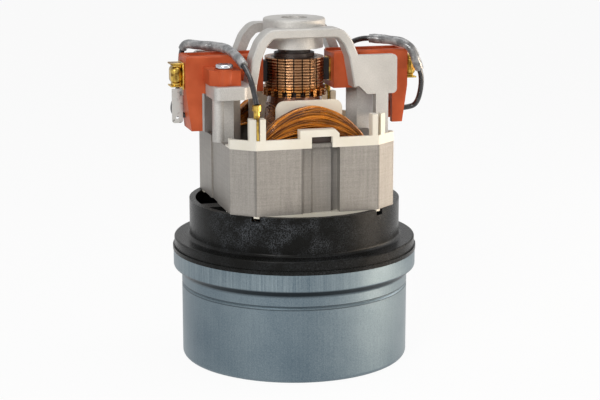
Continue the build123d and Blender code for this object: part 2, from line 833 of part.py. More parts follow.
# Upper insulator of the front coil: plate, rim, clip over the key, wall, lining and two towers
rim_top_z = stack_top_z + insulator_rim_h
with BuildPart() as front_upper_insulator:
    extrude(insulator_plate(stack_top_z).sketch, amount=plate_wall)
    with BuildSketch(Plane.XY.offset(stack_top_z)) as rim:
        Polygon(*insulator_outline, align=None)
        offset(rim.sketch, amount=-rim_wall, kind=Kind.INTERSECTION, mode=Mode.SUBTRACT)
        with Locations((0, stack_half_y - insulator_rim_reach_y)):
            Rectangle(2 * stack_half_x, 2 * stack_half_y, mode=Mode.SUBTRACT)
    extrude(rim.sketch, amount=insulator_rim_h)
    clip_front_y = -stack_half_y + fit_gap
    clip_top_z = rim_top_z + clip_rise
    with BuildSketch(Plane.XZ.offset(-clip_front_y - clip_depth)) as clip:
        Polygon(
            (-clip_left_x, stack_top_z),
            (-clip_left_x, clip_top_z),
            (clip_right_x - clip_corner, clip_top_z),
            (clip_right_x, clip_top_z - clip_corner),
            (clip_right_x, stack_top_z),
            align=None,
        )
    extrude(clip.sketch, amount=clip_depth)
    block((-key_panel_left, key_right - key_slot_w),
          (clip_front_y - overrun, clip_front_y + clip_depth - rim_wall),
          (stack_top_z - overrun, stack_top_z + clip_hole_h), Mode.SUBTRACT)
    insulator_lining(stack_mid_z + fit_gap, stack_top_z + plate_wall)
    insulator_wall_plate(stack_top_z, stack_top_z + wall_h, -1)
    tower(left_tower_x)
    tower(right_tower_x)
export(front_upper_insulator, "front_upper_insulator")
half_turned(front_upper_insulator, "back_upper_insulator")

# Lower insulator: the same plate inside the collar, with tabs that show in the collar's notches
with BuildPart() as front_lower_insulator:
    with BuildSketch(Plane.XY.offset(stack_low_z - plate_wall)) as plate:
        add(insulator_plate(0).sketch)
        Circle(collar_inner_r - fit_gap, mode=Mode.INTERSECT)
    extrude(plate.sketch, amount=plate_wall)
    with BuildSketch(Plane.XY.offset(stack_low_z - insulator_rim_h)) as rim:
        with Locations((0, -stack_half_y + fit_gap + rim_wall / 2)):
            Rectangle(2 * lower_rim_half_x, rim_wall)
        Circle(collar_inner_r - fit_gap, mode=Mode.INTERSECT)
    extrude(rim.sketch, amount=insulator_rim_h)
    for turn_deg in corner_turns:
        if math.sin(math.radians(turn_deg)) < 0:
            sector(corner_reach, collar_inner_r - overrun, turn_deg - tab_turn_deg / 2, tab_turn_deg,
                   stack_low_z - plate_wall, stack_low_z)
    insulator_lining(stack_low_z - plate_wall, stack_mid_z - fit_gap)
    insulator_wall_plate(stack_low_z - wall_drop, stack_low_z, 0)
export(front_lower_insulator, "front_lower_insulator")
half_turned(front_lower_insulator, "back_lower_insulator")

# Field coil: every outline has corner arcs and crown arcs about the same four centres
crown_r = ((coil_inner_half_x - coil_corner_r) ** 2 + coil_inner_rise ** 2 - coil_corner_r ** 2) / (
    2 * (coil_inner_rise - coil_corner_r))
corner_centre_x = coil_inner_half_x - coil_corner_r
crown_drop = crown_r - coil_inner_rise
meet_turn = math.atan2(crown_drop, corner_centre_x)


def coil_arcs(grow, upper):
    """Three arcs of one end of the coil, from its right leg to its left, each as three points in X and Z."""
    corner = coil_corner_r + grow
    crown = crown_r + grow
    base_z = stack_top_z if upper else stack_low_z
    up = 1 if upper else -1

    def at(turn, side):
        return (side * (corner_centre_x + corner * math.cos(turn)), base_z + up * corner * math.sin(turn))

    right = [at(turn, 1) for turn in (0, meet_turn / 2, meet_turn)]
    left = [at(turn, -1) for turn in (meet_turn, meet_turn / 2, 0)]
    return [right, (right[-1], (0, base_z + up * (crown - crown_drop)), left[0]), left]


def racetrack(grow):
    """Closed outline of the coil in its own plane, grown from its inner turn."""
    right_x = coil_inner_half_x + grow
    Line((right_x, stack_low_z), (right_x, stack_top_z))
    for arc in coil_arcs(grow, True) + coil_arcs(grow, False):
        ThreePointArc(*arc)
    Line((-right_x, stack_low_z), (-right_x, stack_top_z))


def coil_slab(outer_grow, inner_grow, near_y, far_y, mode=Mode.ADD):
    """A slab between two outlines of the coil, from one depth to another in front of the shaft."""
    with BuildSketch(Plane.XZ.offset(near_y)) as face:
        with BuildLine():
            racetrack(outer_grow)
        make_face()
        with BuildLine():
            racetrack(inner_grow)
        make_face(mode=Mode.SUBTRACT)
    extrude(face.sketch, amount=far_y - near_y, mode=mode)


layer_half = coil_layer / 2
layer_skin = layer_half + coil_skin_gap
core_back_y = wall_back_y + insulator_wall + fit_gap
with BuildPart() as field_coil_front:
    coil_slab(coil_reach - layer_skin, -layer_half, core_back_y, coil_front_y - layer_skin)
export(field_coil_front, "field_coil_front")
half_turned(field_coil_front, "field_coil_back")

# Outer layer of the coil: plain over the front face and round the outer side
with BuildPart() as coil_winding_front:
    layer_back_y = coil_front_y - coil_layer_depth - layer_half
    layer_front_y = coil_front_y + layer_half
    coil_slab(coil_reach + layer_half, -layer_half, layer_back_y, layer_front_y)
    coil_slab(coil_reach - layer_half, -coil_layer,
              layer_back_y - overrun, coil_front_y - layer_half, Mode.SUBTRACT)
export(coil_winding_front, "coil_winding_front")
half_turned(coil_winding_front, "coil_winding_back")

# Motor bracket: half of it is made with its own arch, pad, pillar, plate and post, and turned for the rest
arch_half_run = [
    (arch_knee_x, arch_top_z),
    (arch_shoulder_x, arch_top_z - arch_shoulder_drop),
    (arch_low_x, arch_top_z - arch_low_drop),
    (arch_foot_x, pad_top_z - pad_h / 2),
]
arch_run = [(-x, z) for x, z in reversed(arch_half_run)] + arch_half_run
arch_radii = [arch_bend_r, arch_bend_r, arch_knee_r, arch_knee_r, arch_bend_r, arch_bend_r]
pillar_top_z = holder_low_z - fit_gap
screw_bore_top_z = stack_top_z + frame_screw_bite + overrun

with BuildPart() as arch:
    with BuildSketch(Plane.XZ.offset(arch_front_y - arch_depth)) as arch_face:
        with BuildLine():
            outer_run = FilletPolyline(*arch_run, radius=arch_radii)
            inner_run = FilletPolyline(
                *left_of(arch_run, -arch_thick),
                radius=[radius - arch_thick for radius in arch_radii],
            )
            Line(outer_run @ 0, inner_run @ 0)
            Line(outer_run @ 1, inner_run @ 1)
        make_face()
    extrude(arch_face.sketch, amount=arch_depth)
    chamfer(arch.edges().group_by(Axis.Y)[0], cast_edge)

with BuildPart() as pad:
    with BuildSketch(Plane.XY.offset(pad_top_z - pad_h)) as pad_face:
        Polygon(
            (-pad_outer_x, -pad_front_y),
            (-pad_bend_x, -pad_front_y),
            (-pad_inner_x, -arch_front_y),
            (-pad_inner_x, -pad_back_y),
            (-pad_outer_x, -pad_back_y),
            align=None,
        )
        fillet(pad_face.vertices().group_by(Axis.Y)[0], pad_corner_r)
    extrude(pad_face.sketch, amount=pad_h)
    fillet(pad.edges().group_by(Axis.Z)[-1], pad_edge_r)
    post(holder_screw_d / 2 + fit_gap, -lug_x, -lug_screw_y, pad_top_z - holder_screw_bite,
         pad_top_z + overrun, Mode.SUBTRACT)

with BuildPart() as plate:
    with BuildSketch(Plane.XZ.offset(arch_front_y - plate_sheet)) as plate_face:
        Polygon(
            (plate_inner_x, plate_cut_z),
            (plate_inner_x, plate_top_z),
            (plate_outer_x, plate_top_z),
            (plate_outer_x, plate_low_z),
            (plate_cut_x, plate_low_z),
            align=None,
        )
        fillet(plate_face.vertices().group_by(Axis.X)[-1], plate_corner_r)
    extrude(plate_face.sketch, amount=plate_sheet)

with BuildPart() as motor_bracket:
    for turn_deg in (0, 180):
        add(arch.part.rotate(Axis.Z, turn_deg))
        add(pad.part.rotate(Axis.Z, turn_deg))
        add(plate.part.rotate(Axis.Z, turn_deg))
    for side in (-1, 1):
        post(pillar_r, side * pillar_x, side * pillar_y, stack_top_z, pillar_top_z)
        plan(
            [
                (side * (pillar_x + pillar_r / 2), side * block_front_y),
                (side * block_inner_x, side * block_front_y),
                (side * block_web_x, side * block_web_y),
                (side * block_inner_x, side * block_back_y),
                (side * (pillar_x + pillar_r / 2), side * block_back_y),
            ],
            stack_top_z, pillar_top_z,
        )
        block((-side * post_inner_x, -side * post_outer_x),
              (side * arch_front_y, side * (arch_front_y - post_depth)),
              (stack_top_z, pillar_top_z))
        block((-side * post_inner_x, -side * post_outer_x),
              (side * (arch_front_y - plate_sheet), side * (arch_front_y - plate_sheet - shelf_reach)),
              (pillar_top_z - shelf_h, pillar_top_z))
        post(frame_screw_r + fit_gap, side * frame_screw_x, side * frame_screw_y,
             stack_top_z - overrun, screw_bore_top_z, Mode.SUBTRACT)
    boss_r = boss_d / 2
    boss_hole_r = boss_hole_d / 2
    seat_top_z = boss_top_z - boss_hole_h
    ring(boss_skirt_d / 2, 0, boss_skirt_z, boss_top_z - overrun)
    with BuildSketch(Plane.XY.offset(arch_top_z - arch_thick)) as boss_face:
        Circle(boss_r)
    extrude(boss_face.sketch, amount=boss_top_z - arch_top_z + arch_thick)
    top_edges = motor_bracket.edges().filter_by(GeomType.CIRCLE).group_by(Axis.Z)[-1]
    fillet(top_edges, boss_edge_r)
    ring(boss_hole_r, 0, boss_skirt_z - overrun, boss_top_z + overrun, Mode.SUBTRACT)
    ring(bearing_r + fit_gap, 0, boss_skirt_z - overrun, seat_top_z, Mode.SUBTRACT)
export(motor_bracket, "motor_bracket")


# Brush holder of red moulding: body with the tube's channel, outer leg, and lug over the pad
channel_y = tube_out_y / 2 + fit_gap
channel_z = tube_out_z / 2 + fit_gap
lug_low_z = pad_top_z + fit_gap
lug_top_z = lug_low_z + lug_h
boss_top_of_lug_z = lug_top_z + lug_boss_h
lead_r = lead_d / 2
with BuildPart() as left_brush_holder:
    block((-holder_outer_x, -holder_inner_x), (-holder_half_y, holder_half_y), (holder_low_z, holder_top_z))
    chamfer(left_brush_holder.edges().group_by(Axis.Z)[-1], holder_edge_r)
    with BuildSketch(Plane.XZ.offset(-holder_half_y)) as leg_face:
        Polygon(
            (-holder_outer_x, holder_low_z + overrun),
            (-leg_inner_x, holder_low_z + overrun),
            (-leg_inner_x, leg_low_z),
            (-holder_outer_x + leg_taper, leg_low_z),
            (-holder_outer_x, holder_low_z),
            align=None,
        )
    extrude(leg_face.sketch, amount=2 * holder_half_y)
    plan(
        [
            (-lug_x - lug_half_x, 0),
            (-lug_x - lug_half_x, -lug_side_y),
            (-lug_ridge_x, -lug_front_y),
            (-lug_x + lug_half_x, -lug_front_y),
            (-lug_x + lug_half_x, 0),
        ],
        lug_low_z, lug_top_z,
    )
    post(lug_boss_d / 2, -lug_x, -lug_screw_y, lug_low_z, boss_top_of_lug_z)
    block((-holder_outer_x - overrun, -holder_inner_x + overrun), (-channel_y, channel_y),
          (brush_axis_z - channel_z, brush_axis_z + channel_z), Mode.SUBTRACT)
    block((-holder_outer_x + leg_taper, -holder_inner_x + overrun),
          (-holder_groove_half, holder_groove_half),
          (holder_top_z - holder_groove_depth, holder_top_z + overrun), Mode.SUBTRACT)
    block((-leg_inner_x - leg_pocket_x, -leg_inner_x + overrun), (-leg_pocket_half_y, leg_pocket_half_y),
          (leg_low_z - overrun, leg_low_z + leg_pocket_h), Mode.SUBTRACT)
    post(holder_screw_d / 2 + fit_gap, -lug_x, -lug_screw_y, lug_low_z - overrun,
         boss_top_of_lug_z + overrun, Mode.SUBTRACT)
    with BuildSketch(Plane.YZ.offset(-holder_outer_x - overrun)) as lead_hole:
        with Locations((lead_y, lead_z)):
            Circle(lead_r + fit_gap)
    extrude(lead_hole.sketch, amount=holder_outer_x + overrun - leg_inner_x, mode=Mode.SUBTRACT)
export(left_brush_holder, "left_brush_holder")
half_turned(left_brush_holder, "right_brush_holder")

# Screws that hold the brush holders on their pads
with BuildPart() as holder_screws:
    for side in (-1, 1):
        post(holder_screw_d / 2, side * lug_x, side * lug_screw_y,
             pad_top_z - holder_screw_bite, boss_top_of_lug_z)
        post(holder_head_d / 2, side * lug_x, side * lug_screw_y,
             boss_top_of_lug_z, boss_top_of_lug_z + holder_head_h)
    chamfer(holder_screws.edges().group_by(Axis.Z)[-1], holder_head_h / 4)
export(holder_screws, "holder_screws")

# Brush tube of brass sheet, open towards the commutator
inner_y = tube_out_y / 2 - tube_wall
inner_z = tube_out_z / 2 - tube_wall
with BuildPart() as left_brush_tube:
    block((-holder_outer_x, -holder_inner_x + tube_show), (-tube_out_y / 2, tube_out_y / 2),
          (brush_axis_z - tube_out_z / 2, brush_axis_z + tube_out_z / 2))
    block((-holder_outer_x - overrun, -holder_inner_x + 2 * overrun), (-inner_y, inner_y),
          (brush_axis_z - inner_z, brush_axis_z + inner_z), Mode.SUBTRACT)
export(left_brush_tube, "left_brush_tube")
half_turned(left_brush_tube, "right_brush_tube")

# Carbon brush, hollowed to the commutator's round
brush_end_x = commutator_r + brush_len
with BuildPart() as left_carbon_brush:
    block((-brush_end_x, 0), (-inner_y + slide_gap, inner_y - slide_gap),
          (brush_axis_z - inner_z + slide_gap, brush_axis_z + inner_z - slide_gap))
    ring(commutator_r + brush_arc_gap, 0,
         brush_axis_z - tube_out_z, brush_axis_z + tube_out_z, Mode.SUBTRACT)
export(left_carbon_brush, "left_carbon_brush")
half_turned(left_carbon_brush, "right_carbon_brush")

# Brass cap that closes the tube's outer end, with its flange and the plug that the spring pushes on
cap_near_x = holder_outer_x + fit_gap
with BuildPart() as left_brush_cap:
    block((-cap_near_x - cap_len, -cap_near_x), (-cap_half_y, cap_half_y),
          (brush_axis_z - cap_half_z, brush_axis_z + cap_half_z))
    fillet(left_brush_cap.edges().group_by(Axis.X)[0], cap_edge_r)
    block((-cap_near_x - cap_flange_h, -cap_near_x),
          (-cap_half_y - cap_flange_reach, cap_half_y + cap_flange_reach),
          (brush_axis_z - cap_half_z - cap_flange_reach, brush_axis_z + cap_half_z))
    block((-cap_near_x, -cap_near_x + cap_plug), (-inner_y + slide_gap, inner_y - slide_gap),
          (brush_axis_z - inner_z + slide_gap, brush_axis_z + inner_z - slide_gap))
export(left_brush_cap, "left_brush_cap")
half_turned(left_brush_cap, "right_brush_cap")

# Brush spring, hidden in the tube, as one hollow roll between the brush and the cap's plug
with BuildPart() as left_brush_spring:
    spring_far_x = cap_near_x - cap_plug - spring_gap
    with BuildSketch(Plane.YZ.offset(-spring_far_x)) as spring_face:
        with Locations((0, brush_axis_z)):
            Circle(spring_d / 2)
            Circle(spring_d / 2 - spring_wall, mode=Mode.SUBTRACT)
    extrude(spring_face.sketch, amount=spring_far_x - brush_end_x - spring_gap)
export(left_brush_spring, "left_brush_spring")
half_turned(left_brush_spring, "right_brush_spring")

# Push-on tab of tinned brass under the left cap, with a foot against the holder
tab_top_z = brush_axis_z - cap_half_z - cap_flange_reach - fit_gap
with BuildPart() as supply_tab:
    with BuildSketch(Plane.XZ.offset(-tab_sheet / 2)) as tab_face:
        with Locations((-cap_near_x - tab_w / 2, (tab_low_z + tab_top_z) / 2)):
            Rectangle(tab_w, tab_top_z - tab_low_z)
        fillet(tab_face.vertices().group_by(Axis.Y)[0], tab_corner_r)
        with Locations((-cap_near_x - tab_w / 2, tab_low_z + tab_w / 2)):
            Circle(tab_hole_d / 2, mode=Mode.SUBTRACT)
    extrude(tab_face.sketch, amount=tab_sheet)
    block((-cap_near_x - tab_sheet, -cap_near_x), (-tab_w / 2, tab_w / 2),
          (tab_top_z - tab_foot_h, tab_top_z))
export(supply_tab, "supply_tab")

# Brass terminals of the leads: collar and neck over the tower, blade down in its slot
crimp_low_z = stack_top_z + tower_h + winding_gap
crimp_top_z = crimp_low_z + crimp_neck_h + crimp_h
crimp_y = -stack_half_y + fit_gap + tower_depth / 2
with BuildPart() as tower_terminals:
    for side in (-1, 1):
        x = -side * left_tower_x
        y = -side * crimp_y
        post(crimp_neck_d / 2, x, y, crimp_low_z, crimp_top_z)
        post(crimp_d / 2, x, y, crimp_top_z - crimp_h, crimp_top_z)
        post(crimp_cup_d / 2, x, y, crimp_top_z - crimp_cup_h, crimp_top_z + overrun, Mode.SUBTRACT)
        block((x - crimp_blade_w / 2, x + crimp_blade_w / 2),
              (y - crimp_blade_depth / 2, y + crimp_blade_depth / 2),
              (stack_top_z + tower_slot_foot + fit_gap, crimp_low_z + crimp_neck_h / 2))
export(tower_terminals, "tower_terminals")

# Routes of the leads, from the brush holder's leg to the terminal on the tower
lead_start_x = leg_inner_x + leg_pocket_x
left_route = [
    (-lead_start_x, lead_y, lead_z),
    (-70.2, lead_y, lead_z),
    (-70.4, 13.0, 149.0),
    (-66.6, 14.8, 157.5),
    (-64.6, 14.4, 168.0),
    (-64.4, 14.8, 179.4),
    (-62.9, 11.8, 186.8),
    (-55.0, 4.5, 185.9),
    (-44.5, -2.0, 185.5),
    (-40.8, -13.0, 184.0),
    (-38.4, -24.5, 180.2),
    (-36.6, -33.5, 174.8),
    (-35.3, -41.5, 167.0),
    (left_tower_x, crimp_y, crimp_top_z),
]
right_route = [
    (lead_start_x, -lead_y, lead_z),
    (71.2, -lead_y, lead_z),
    (74.3, -7.5, 149.5),
    (75.4, -10.0, 158.0),
    (75.0, -11.5, 166.0),
    (71.6, -13.4, 173.0),
    (68.8, -14.2, 180.8),
    (64.1, -10.3, 185.8),
    (57.0, -2.0, 186.4),
    (50.0, 3.0, 186.8),
    (44.0, 6.5, 186.6),
    (40.5, 15.5, 183.8),
    (38.2, 26.5, 179.0),
    (36.2, 37.5, 171.0),
    (-left_tower_x, -crimp_y, crimp_top_z),
]
run_share = 0.45


def bend_radii(route):
    """Radius at each inner point, as large as its two runs allow."""
    radii = []
    for before, here, after in zip(route, route[1:], route[2:]):
        run_in = Vector(*here) - Vector(*before)
        run_out = Vector(*after) - Vector(*here)
        half_turn = math.radians(run_in.get_angle(run_out)) / 2
        radii.append(run_share * min(run_in.length, run_out.length) / math.tan(half_turn))
    return radii


def tube(route, radii, outer_r, inner_r):
    """A tube along straight runs and tangent arcs, whose volume is compared with its length."""
    with BuildLine() as path:
        FilletPolyline(*route, radius=radii)
    with BuildSketch(Plane(origin=path.line @ 0, z_dir=path.line % 0)) as section:
        Circle(outer_r)
        if inner_r > 0:
            Circle(inner_r, mode=Mode.SUBTRACT)
    solid = sweep(section.sketch, path=path.line)
    length = path.wires()[0].length
    print("length", round(length, 1), "volume", round(solid.volume, 1),
          "section by length", round(section.sketch.area * length, 1))


def middle_of(start, end):
    """The point half way along one run."""
    return tuple((low + high) / 2 for low, high in zip(start, end))


def lead(side, route, first_run, last_run):
    """A covered lead over its whole route, and the sleeve from one run's middle to another's."""
    radii = bend_radii(route)
    print(side, "lead radii", [round(radius, 1) for radius in radii])
    with BuildPart() as wire:
        tube(route, radii, lead_r, 0)
    export(wire, side + "_lead_wire")
    sleeve_route = [middle_of(route[first_run], route[first_run + 1])]
    sleeve_route += route[first_run + 1:last_run + 1]
    sleeve_route += [middle_of(route[last_run], route[last_run + 1])]
    with BuildPart() as sleeve:
        tube(sleeve_route, radii[first_run:last_run], sleeve_d / 2, lead_r + fit_gap)
    export(sleeve, side + "_lead_sleeve")


lead("left", left_route, 5, 10)
lead("right", right_route, 4, 9)
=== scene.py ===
"""Looks of the two-stage vacuum motor unit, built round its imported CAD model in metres.

The camera stands where the photograph was taken. Most CAD nodes keep their shape and get a finish.
The field coils, the end turns of the armature, the leads, the springs and caps of the brushes and the
bright screws are made again here, with the wires, creases and slots that the photograph shows.
"""

import math
import random

import bmesh
import bpy
from mathutils import Matrix, Vector, noise


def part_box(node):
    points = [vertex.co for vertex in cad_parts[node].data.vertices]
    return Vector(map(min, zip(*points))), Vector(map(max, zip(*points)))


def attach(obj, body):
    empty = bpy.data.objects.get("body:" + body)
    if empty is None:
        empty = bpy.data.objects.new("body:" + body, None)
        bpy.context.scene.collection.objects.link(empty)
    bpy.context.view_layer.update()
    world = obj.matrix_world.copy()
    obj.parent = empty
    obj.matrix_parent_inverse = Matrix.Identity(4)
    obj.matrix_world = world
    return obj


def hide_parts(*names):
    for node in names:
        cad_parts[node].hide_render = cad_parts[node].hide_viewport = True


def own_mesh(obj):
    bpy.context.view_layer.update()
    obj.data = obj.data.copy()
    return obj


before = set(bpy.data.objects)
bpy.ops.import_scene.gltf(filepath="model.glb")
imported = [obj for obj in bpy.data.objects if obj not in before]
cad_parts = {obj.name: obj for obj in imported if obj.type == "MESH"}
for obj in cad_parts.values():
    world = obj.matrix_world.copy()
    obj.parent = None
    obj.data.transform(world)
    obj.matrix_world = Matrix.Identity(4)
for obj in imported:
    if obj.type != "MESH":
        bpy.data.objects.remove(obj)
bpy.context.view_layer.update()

MM = 0.001

# The drift of the coils' turns comes from this seed, so that every run gives the same wires
noise.seed_set(1)

# Boxes that the made pieces take from the frame
stack_low, stack_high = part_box("field_stack")
coil_core_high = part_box("field_coil_front")[1]
winding_low, winding_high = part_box("coil_winding_front")
armature_low, armature_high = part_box("armature_winding")
screw_low, screw_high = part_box("holder_screws")
stack_top = stack_high.z
stack_bottom = stack_low.z


class Signal:
    """A shader value that can be used in Python expressions."""

    def __init__(self, finish, socket):
        self.finish = finish
        self.socket = socket

    def combine(self, operation, first, second):
        return self.finish.node("ShaderNodeMath", {"operation": operation}, [first, second])

    def __add__(self, other):
        return self.combine("ADD", self, other)

    def __radd__(self, other):
        return self.combine("ADD", other, self)

    def __mul__(self, other):
        return self.combine("MULTIPLY", self, other)

    def __rmul__(self, other):
        return self.combine("MULTIPLY", other, self)

    def clamped(self):
        return self.finish.node("ShaderNodeClamp", {}, [self, 0.0, 1.0])


class Finish:
    """One procedural material with its shader and its patterns."""

    def __init__(self, name, metallic=0.0, coat=0.0, specular=0.5):
        self.material = bpy.data.materials.new(name)
        self.material.use_nodes = True
        self.tree = self.material.node_tree
        self.shader = self.tree.nodes["Principled BSDF"]
        self.set("Metallic", metallic)
        self.set("Coat Weight", coat)
        self.set("Specular IOR Level", specular)
        self.place = Signal(self, self.tree.nodes.new("ShaderNodeTexCoord").outputs["Object"])

    def set(self, socket_name, value):
        """Set a shader socket to a value, or link a pattern to it."""
        socket = self.shader.inputs[socket_name]
        if isinstance(value, Signal):
            self.tree.links.new(value.socket, socket)
        else:
            socket.default_value = value

    def node(self, kind, settings, values, output=0):
        """Add a node with its settings and the values or links of its sockets."""
        node = self.tree.nodes.new(kind)
        for name, value in settings.items():
            setattr(node, name, value)
        keyed = values.items() if isinstance(values, dict) else enumerate(values)
        for key, value in keyed:
            if isinstance(value, Signal):
                self.tree.links.new(value.socket, node.inputs[key])
            else:
                node.inputs[key].default_value = value
        return Signal(self, node.outputs[output])

    def noise(self, scale, detail=3.0, roughness=0.5, stretch=(1, 1, 1)):
        """Cloudy pattern from 0 to 1, with this many cells to a metre, drawn out along the short axes."""
        place = self.node("ShaderNodeMapping", {}, {"Vector": self.place, "Scale": stretch})
        return self.node("ShaderNodeTexNoise", {}, {
            "Vector": place, "Scale": scale, "Detail": detail, "Roughness": roughness})

    def lines(self, scale, distortion=0.0, detail=1.0):
        """Level bands that repeat with the height, from 0 to 1."""
        return self.node("ShaderNodeTexWave", {"wave_type": "BANDS", "bands_direction": "Z"}, {
            "Vector": self.place, "Scale": scale, "Distortion": distortion, "Detail": detail})

    def attribute(self, name):
        """A value that the piece's own mesh carries."""
        return self.node("ShaderNodeAttribute", {"attribute_name": name}, {}, output=2)

    def axis(self, name):
        """One coordinate of the surface in metres."""
        return self.node("ShaderNodeSeparateXYZ", {}, [self.place], output="XYZ".index(name))

    def between(self, factor, first, second):
        """A colour between two, by a factor."""
        first, second = (end if isinstance(end, Signal) else (*end, 1.0) for end in (first, second))
        return self.node("ShaderNodeMix", {"data_type": "RGBA"}, {0: factor, 6: first, 7: second}, output=2)

    def bump(self, height, distance):
        """Relief in metres from a pattern."""
        self.set("Normal", self.node("ShaderNodeBump", {}, {"Height": height, "Distance": distance}))

    def spread(self, pattern, low=0.3, high=0.7):
        """A pattern stretched so that low becomes 0 and high becomes 1."""
        return self.node("ShaderNodeMapRange", {"clamp": True}, [pattern, low, high, 0.0, 1.0])

    def strip(self, pattern, start, full, fade, end):
        """1 where a pattern lies between full and fade, and 0 before its start and past its end."""
        return self.spread(pattern, start, full) * self.spread(pattern, end, fade)


# Painted shade in the grooves of the can, under its lip and on both sides of its bead: where each starts,
# is full, fades and ends, in metres above the floor, and how dark it is
can_groove_shades = [
    (0.0500, 0.0520, 0.0546, 0.0556, 0.92),
    (0.0449, 0.0452, 0.0453, 0.0456, 0.80),
    (0.0428, 0.0431, 0.0432, 0.0435, 0.80),
]
lip_foot = 0.0545
lip_wall = 0.0555

# Marks of the stack along X in metres: the panel of its key, darkened as painted shade of its recess, and
# the folds of its corners
key_panel = (-0.0092, -0.0088, 0.0128, 0.0132)
fold_places = (-0.0362, -0.0092, 0.0362)
fold_reach = 0.0009
fold_core = 0.0003

# Scale of the bands that puts one line on every 0.5 mm sheet
sheet_lines = 628.0


def can_steel():
    """Zinc-coated deep-drawn steel, clouded blue-grey, with marks up its lip and painted shade in its
    grooves.
    """
    steel = Finish("can_steel", metallic=0.85)
    height = steel.axis("Z")
    drawn = steel.noise(1100, 3.0, 0.6, stretch=(1, 1, 0.02))
    speck = steel.noise(1500, 3.0, 0.7)
    cloud = steel.noise(18, 3.0)
    marked_lip = steel.spread(height, lip_foot, lip_wall) * steel.spread(steel.axis("X"), 0.03, -0.015)
    marks = (0.07 + 0.33 * marked_lip) * steel.spread(drawn, 0.35, 0.65)
    shade = 0.44 * steel.spread(cloud) + marks + 0.30 * steel.spread(speck, 0.35, 0.65)
    colour = steel.between(shade.clamped(), (0.078, 0.118, 0.152), (0.265, 0.320, 0.345))
    # Painted shade: the grooves under the lip and beside the bead are darkened towards near black
    painted_groove_shade = sum(dark * steel.strip(height, *edges) for *edges, dark in can_groove_shades)
    steel.set("Base Color", steel.between(painted_groove_shade.clamped(), colour, (0.012, 0.016, 0.02)))
    steel.set("Roughness", 0.34 + 0.08 * speck + 0.06 * cloud)
    steel.bump(drawn + 0.5 * speck, 0.00004)
    return steel


def black_plastic():
    """Glass-filled black moulding, rubbed grey on one side of its collar."""
    plastic = Finish("black_plastic", specular=0.1)
    grain = plastic.noise(1500, 3.0, 0.7)
    scuff = plastic.noise(90, 4.0, 0.6)
    side = plastic.spread(plastic.axis("X"), 0.012, -0.02)
    collar = plastic.spread(plastic.axis("Z"), 0.0725, 0.078)
    front = plastic.spread(plastic.axis("Y"), -0.02, -0.045)
    rubbed = plastic.spread(scuff, 0.40, 0.62) * plastic.spread(grain, 0.46, 0.66)
    worn = (rubbed * (0.25 + 0.75 * side * collar * front)).clamped()
    plastic.set("Base Color", plastic.between(worn, (0.006, 0.006, 0.0055), (0.11, 0.12, 0.135)))
    plastic.set("Roughness", 0.20 + 0.16 * grain + 0.2 * worn)
    plastic.bump(grain, 0.00008)
    return plastic


def lamination_steel():
    """Stamped sheet edges: warm grey and specked, with the lines of the sheets, dark folds, and painted
    shade on the recessed key panel, deepest under the clip.
    """
    steel = Finish("lamination_steel", metallic=0.3)
    across = steel.axis("X")
    front = steel.spread(steel.axis("Y"), -0.040, -0.046)
    sheets = steel.lines(sheet_lines)
    uneven = steel.noise(900, 3.0, 0.7, stretch=(0.05, 0.05, 1))
    upright = steel.noise(700, 3.0, 0.6, stretch=(1, 1, 0.06))
    speck = steel.noise(1400, 3.0, 0.7)
    patch = steel.noise(60, 3.0)
    shade = (0.12 * sheets + 0.22 * steel.spread(uneven) + 0.3 * steel.spread(upright)
             + 0.3 * steel.spread(speck, 0.35, 0.65) + 0.25 * patch)
    colour = steel.between(shade.clamped(), (0.186, 0.175, 0.158), (0.407, 0.379, 0.350))
    # Painted shade: the recessed key panel is darkened, and more so at its top under the clip
    painted_shade_key_panel = steel.strip(across, *key_panel) * front
    fold_edges = (-fold_reach, -fold_core, fold_core, fold_reach)
    folds = sum(steel.strip(across, *(place + edge for edge in fold_edges)) for place in fold_places)
    painted_shade_under_clip = steel.spread(steel.axis("Z"), 0.120, 0.131) * painted_shade_key_panel
    dark = (0.42 * painted_shade_key_panel * steel.spread(speck, 0.3, 0.6) + 0.5 * folds + 0.25 * painted_shade_under_clip).clamped()
    steel.set("Base Color", steel.between(dark, colour, (0.085, 0.079, 0.073)))
    steel.set("Roughness", 0.42 + 0.2 * patch)
    steel.bump(sheets + 0.6 * uneven, 0.00003)
    return steel


def armature_steel():
    """Darker stamped steel of the turning stack."""
    steel = Finish("armature_steel", metallic=0.6)
    sheets = steel.lines(sheet_lines)
    steel.set("Base Color", (0.13, 0.12, 0.11, 1.0))
    steel.set("Roughness", 0.4 + 0.15 * sheets)
    steel.bump(sheets, 0.00005)
    return steel


def cast_aluminium():
    """Die-cast aluminium with a fine sandy skin and soft stains."""
    cast = Finish("cast_aluminium", metallic=0.35)
    skin = cast.noise(1800, 3.0, 0.6)
    stain = cast.noise(55, 4.0)
    mottle = 0.6 * cast.spread(stain) + 0.4 * cast.spread(skin, 0.4, 0.6)
    cast.set("Base Color", cast.between(mottle, (0.407, 0.396, 0.380), (0.638, 0.621, 0.594)))
    cast.set("Roughness", 0.40 + 0.18 * skin)
    cast.bump(skin + 0.8 * cast.noise(420, 2.0), 0.00009)
    return cast


def cream_moulding():
    """Off-white insulating plastic, slightly yellowed in patches."""
    cream = Finish("cream_moulding", specular=0.45)
    age = cream.noise(45, 4.0)
    yellowed = cream.spread(age, 0.35, 0.7)
    cream.set("Base Color", cream.between(yellowed, (0.84, 0.81, 0.73), (0.76, 0.71, 0.60)))
    cream.set("Roughness", 0.34 + 0.12 * age)
    cream.bump(cream.noise(900, 2.0), 0.00004)
    return cream


def red_moulding():
    """Red-brown thermoset of the brush holders, paler where it is rubbed."""
    red = Finish("red_moulding", specular=0.12)
    grain = red.noise(1200, 2.0)
    pale = red.spread(red.noise(60, 4.0), 0.35, 0.72)
    red.set("Base Color", red.between(pale, (0.448, 0.078, 0.027), (0.627, 0.134, 0.052)))
    red.set("Roughness", 0.36 + 0.16 * grain)
    red.bump(grain, 0.00006)
    return red


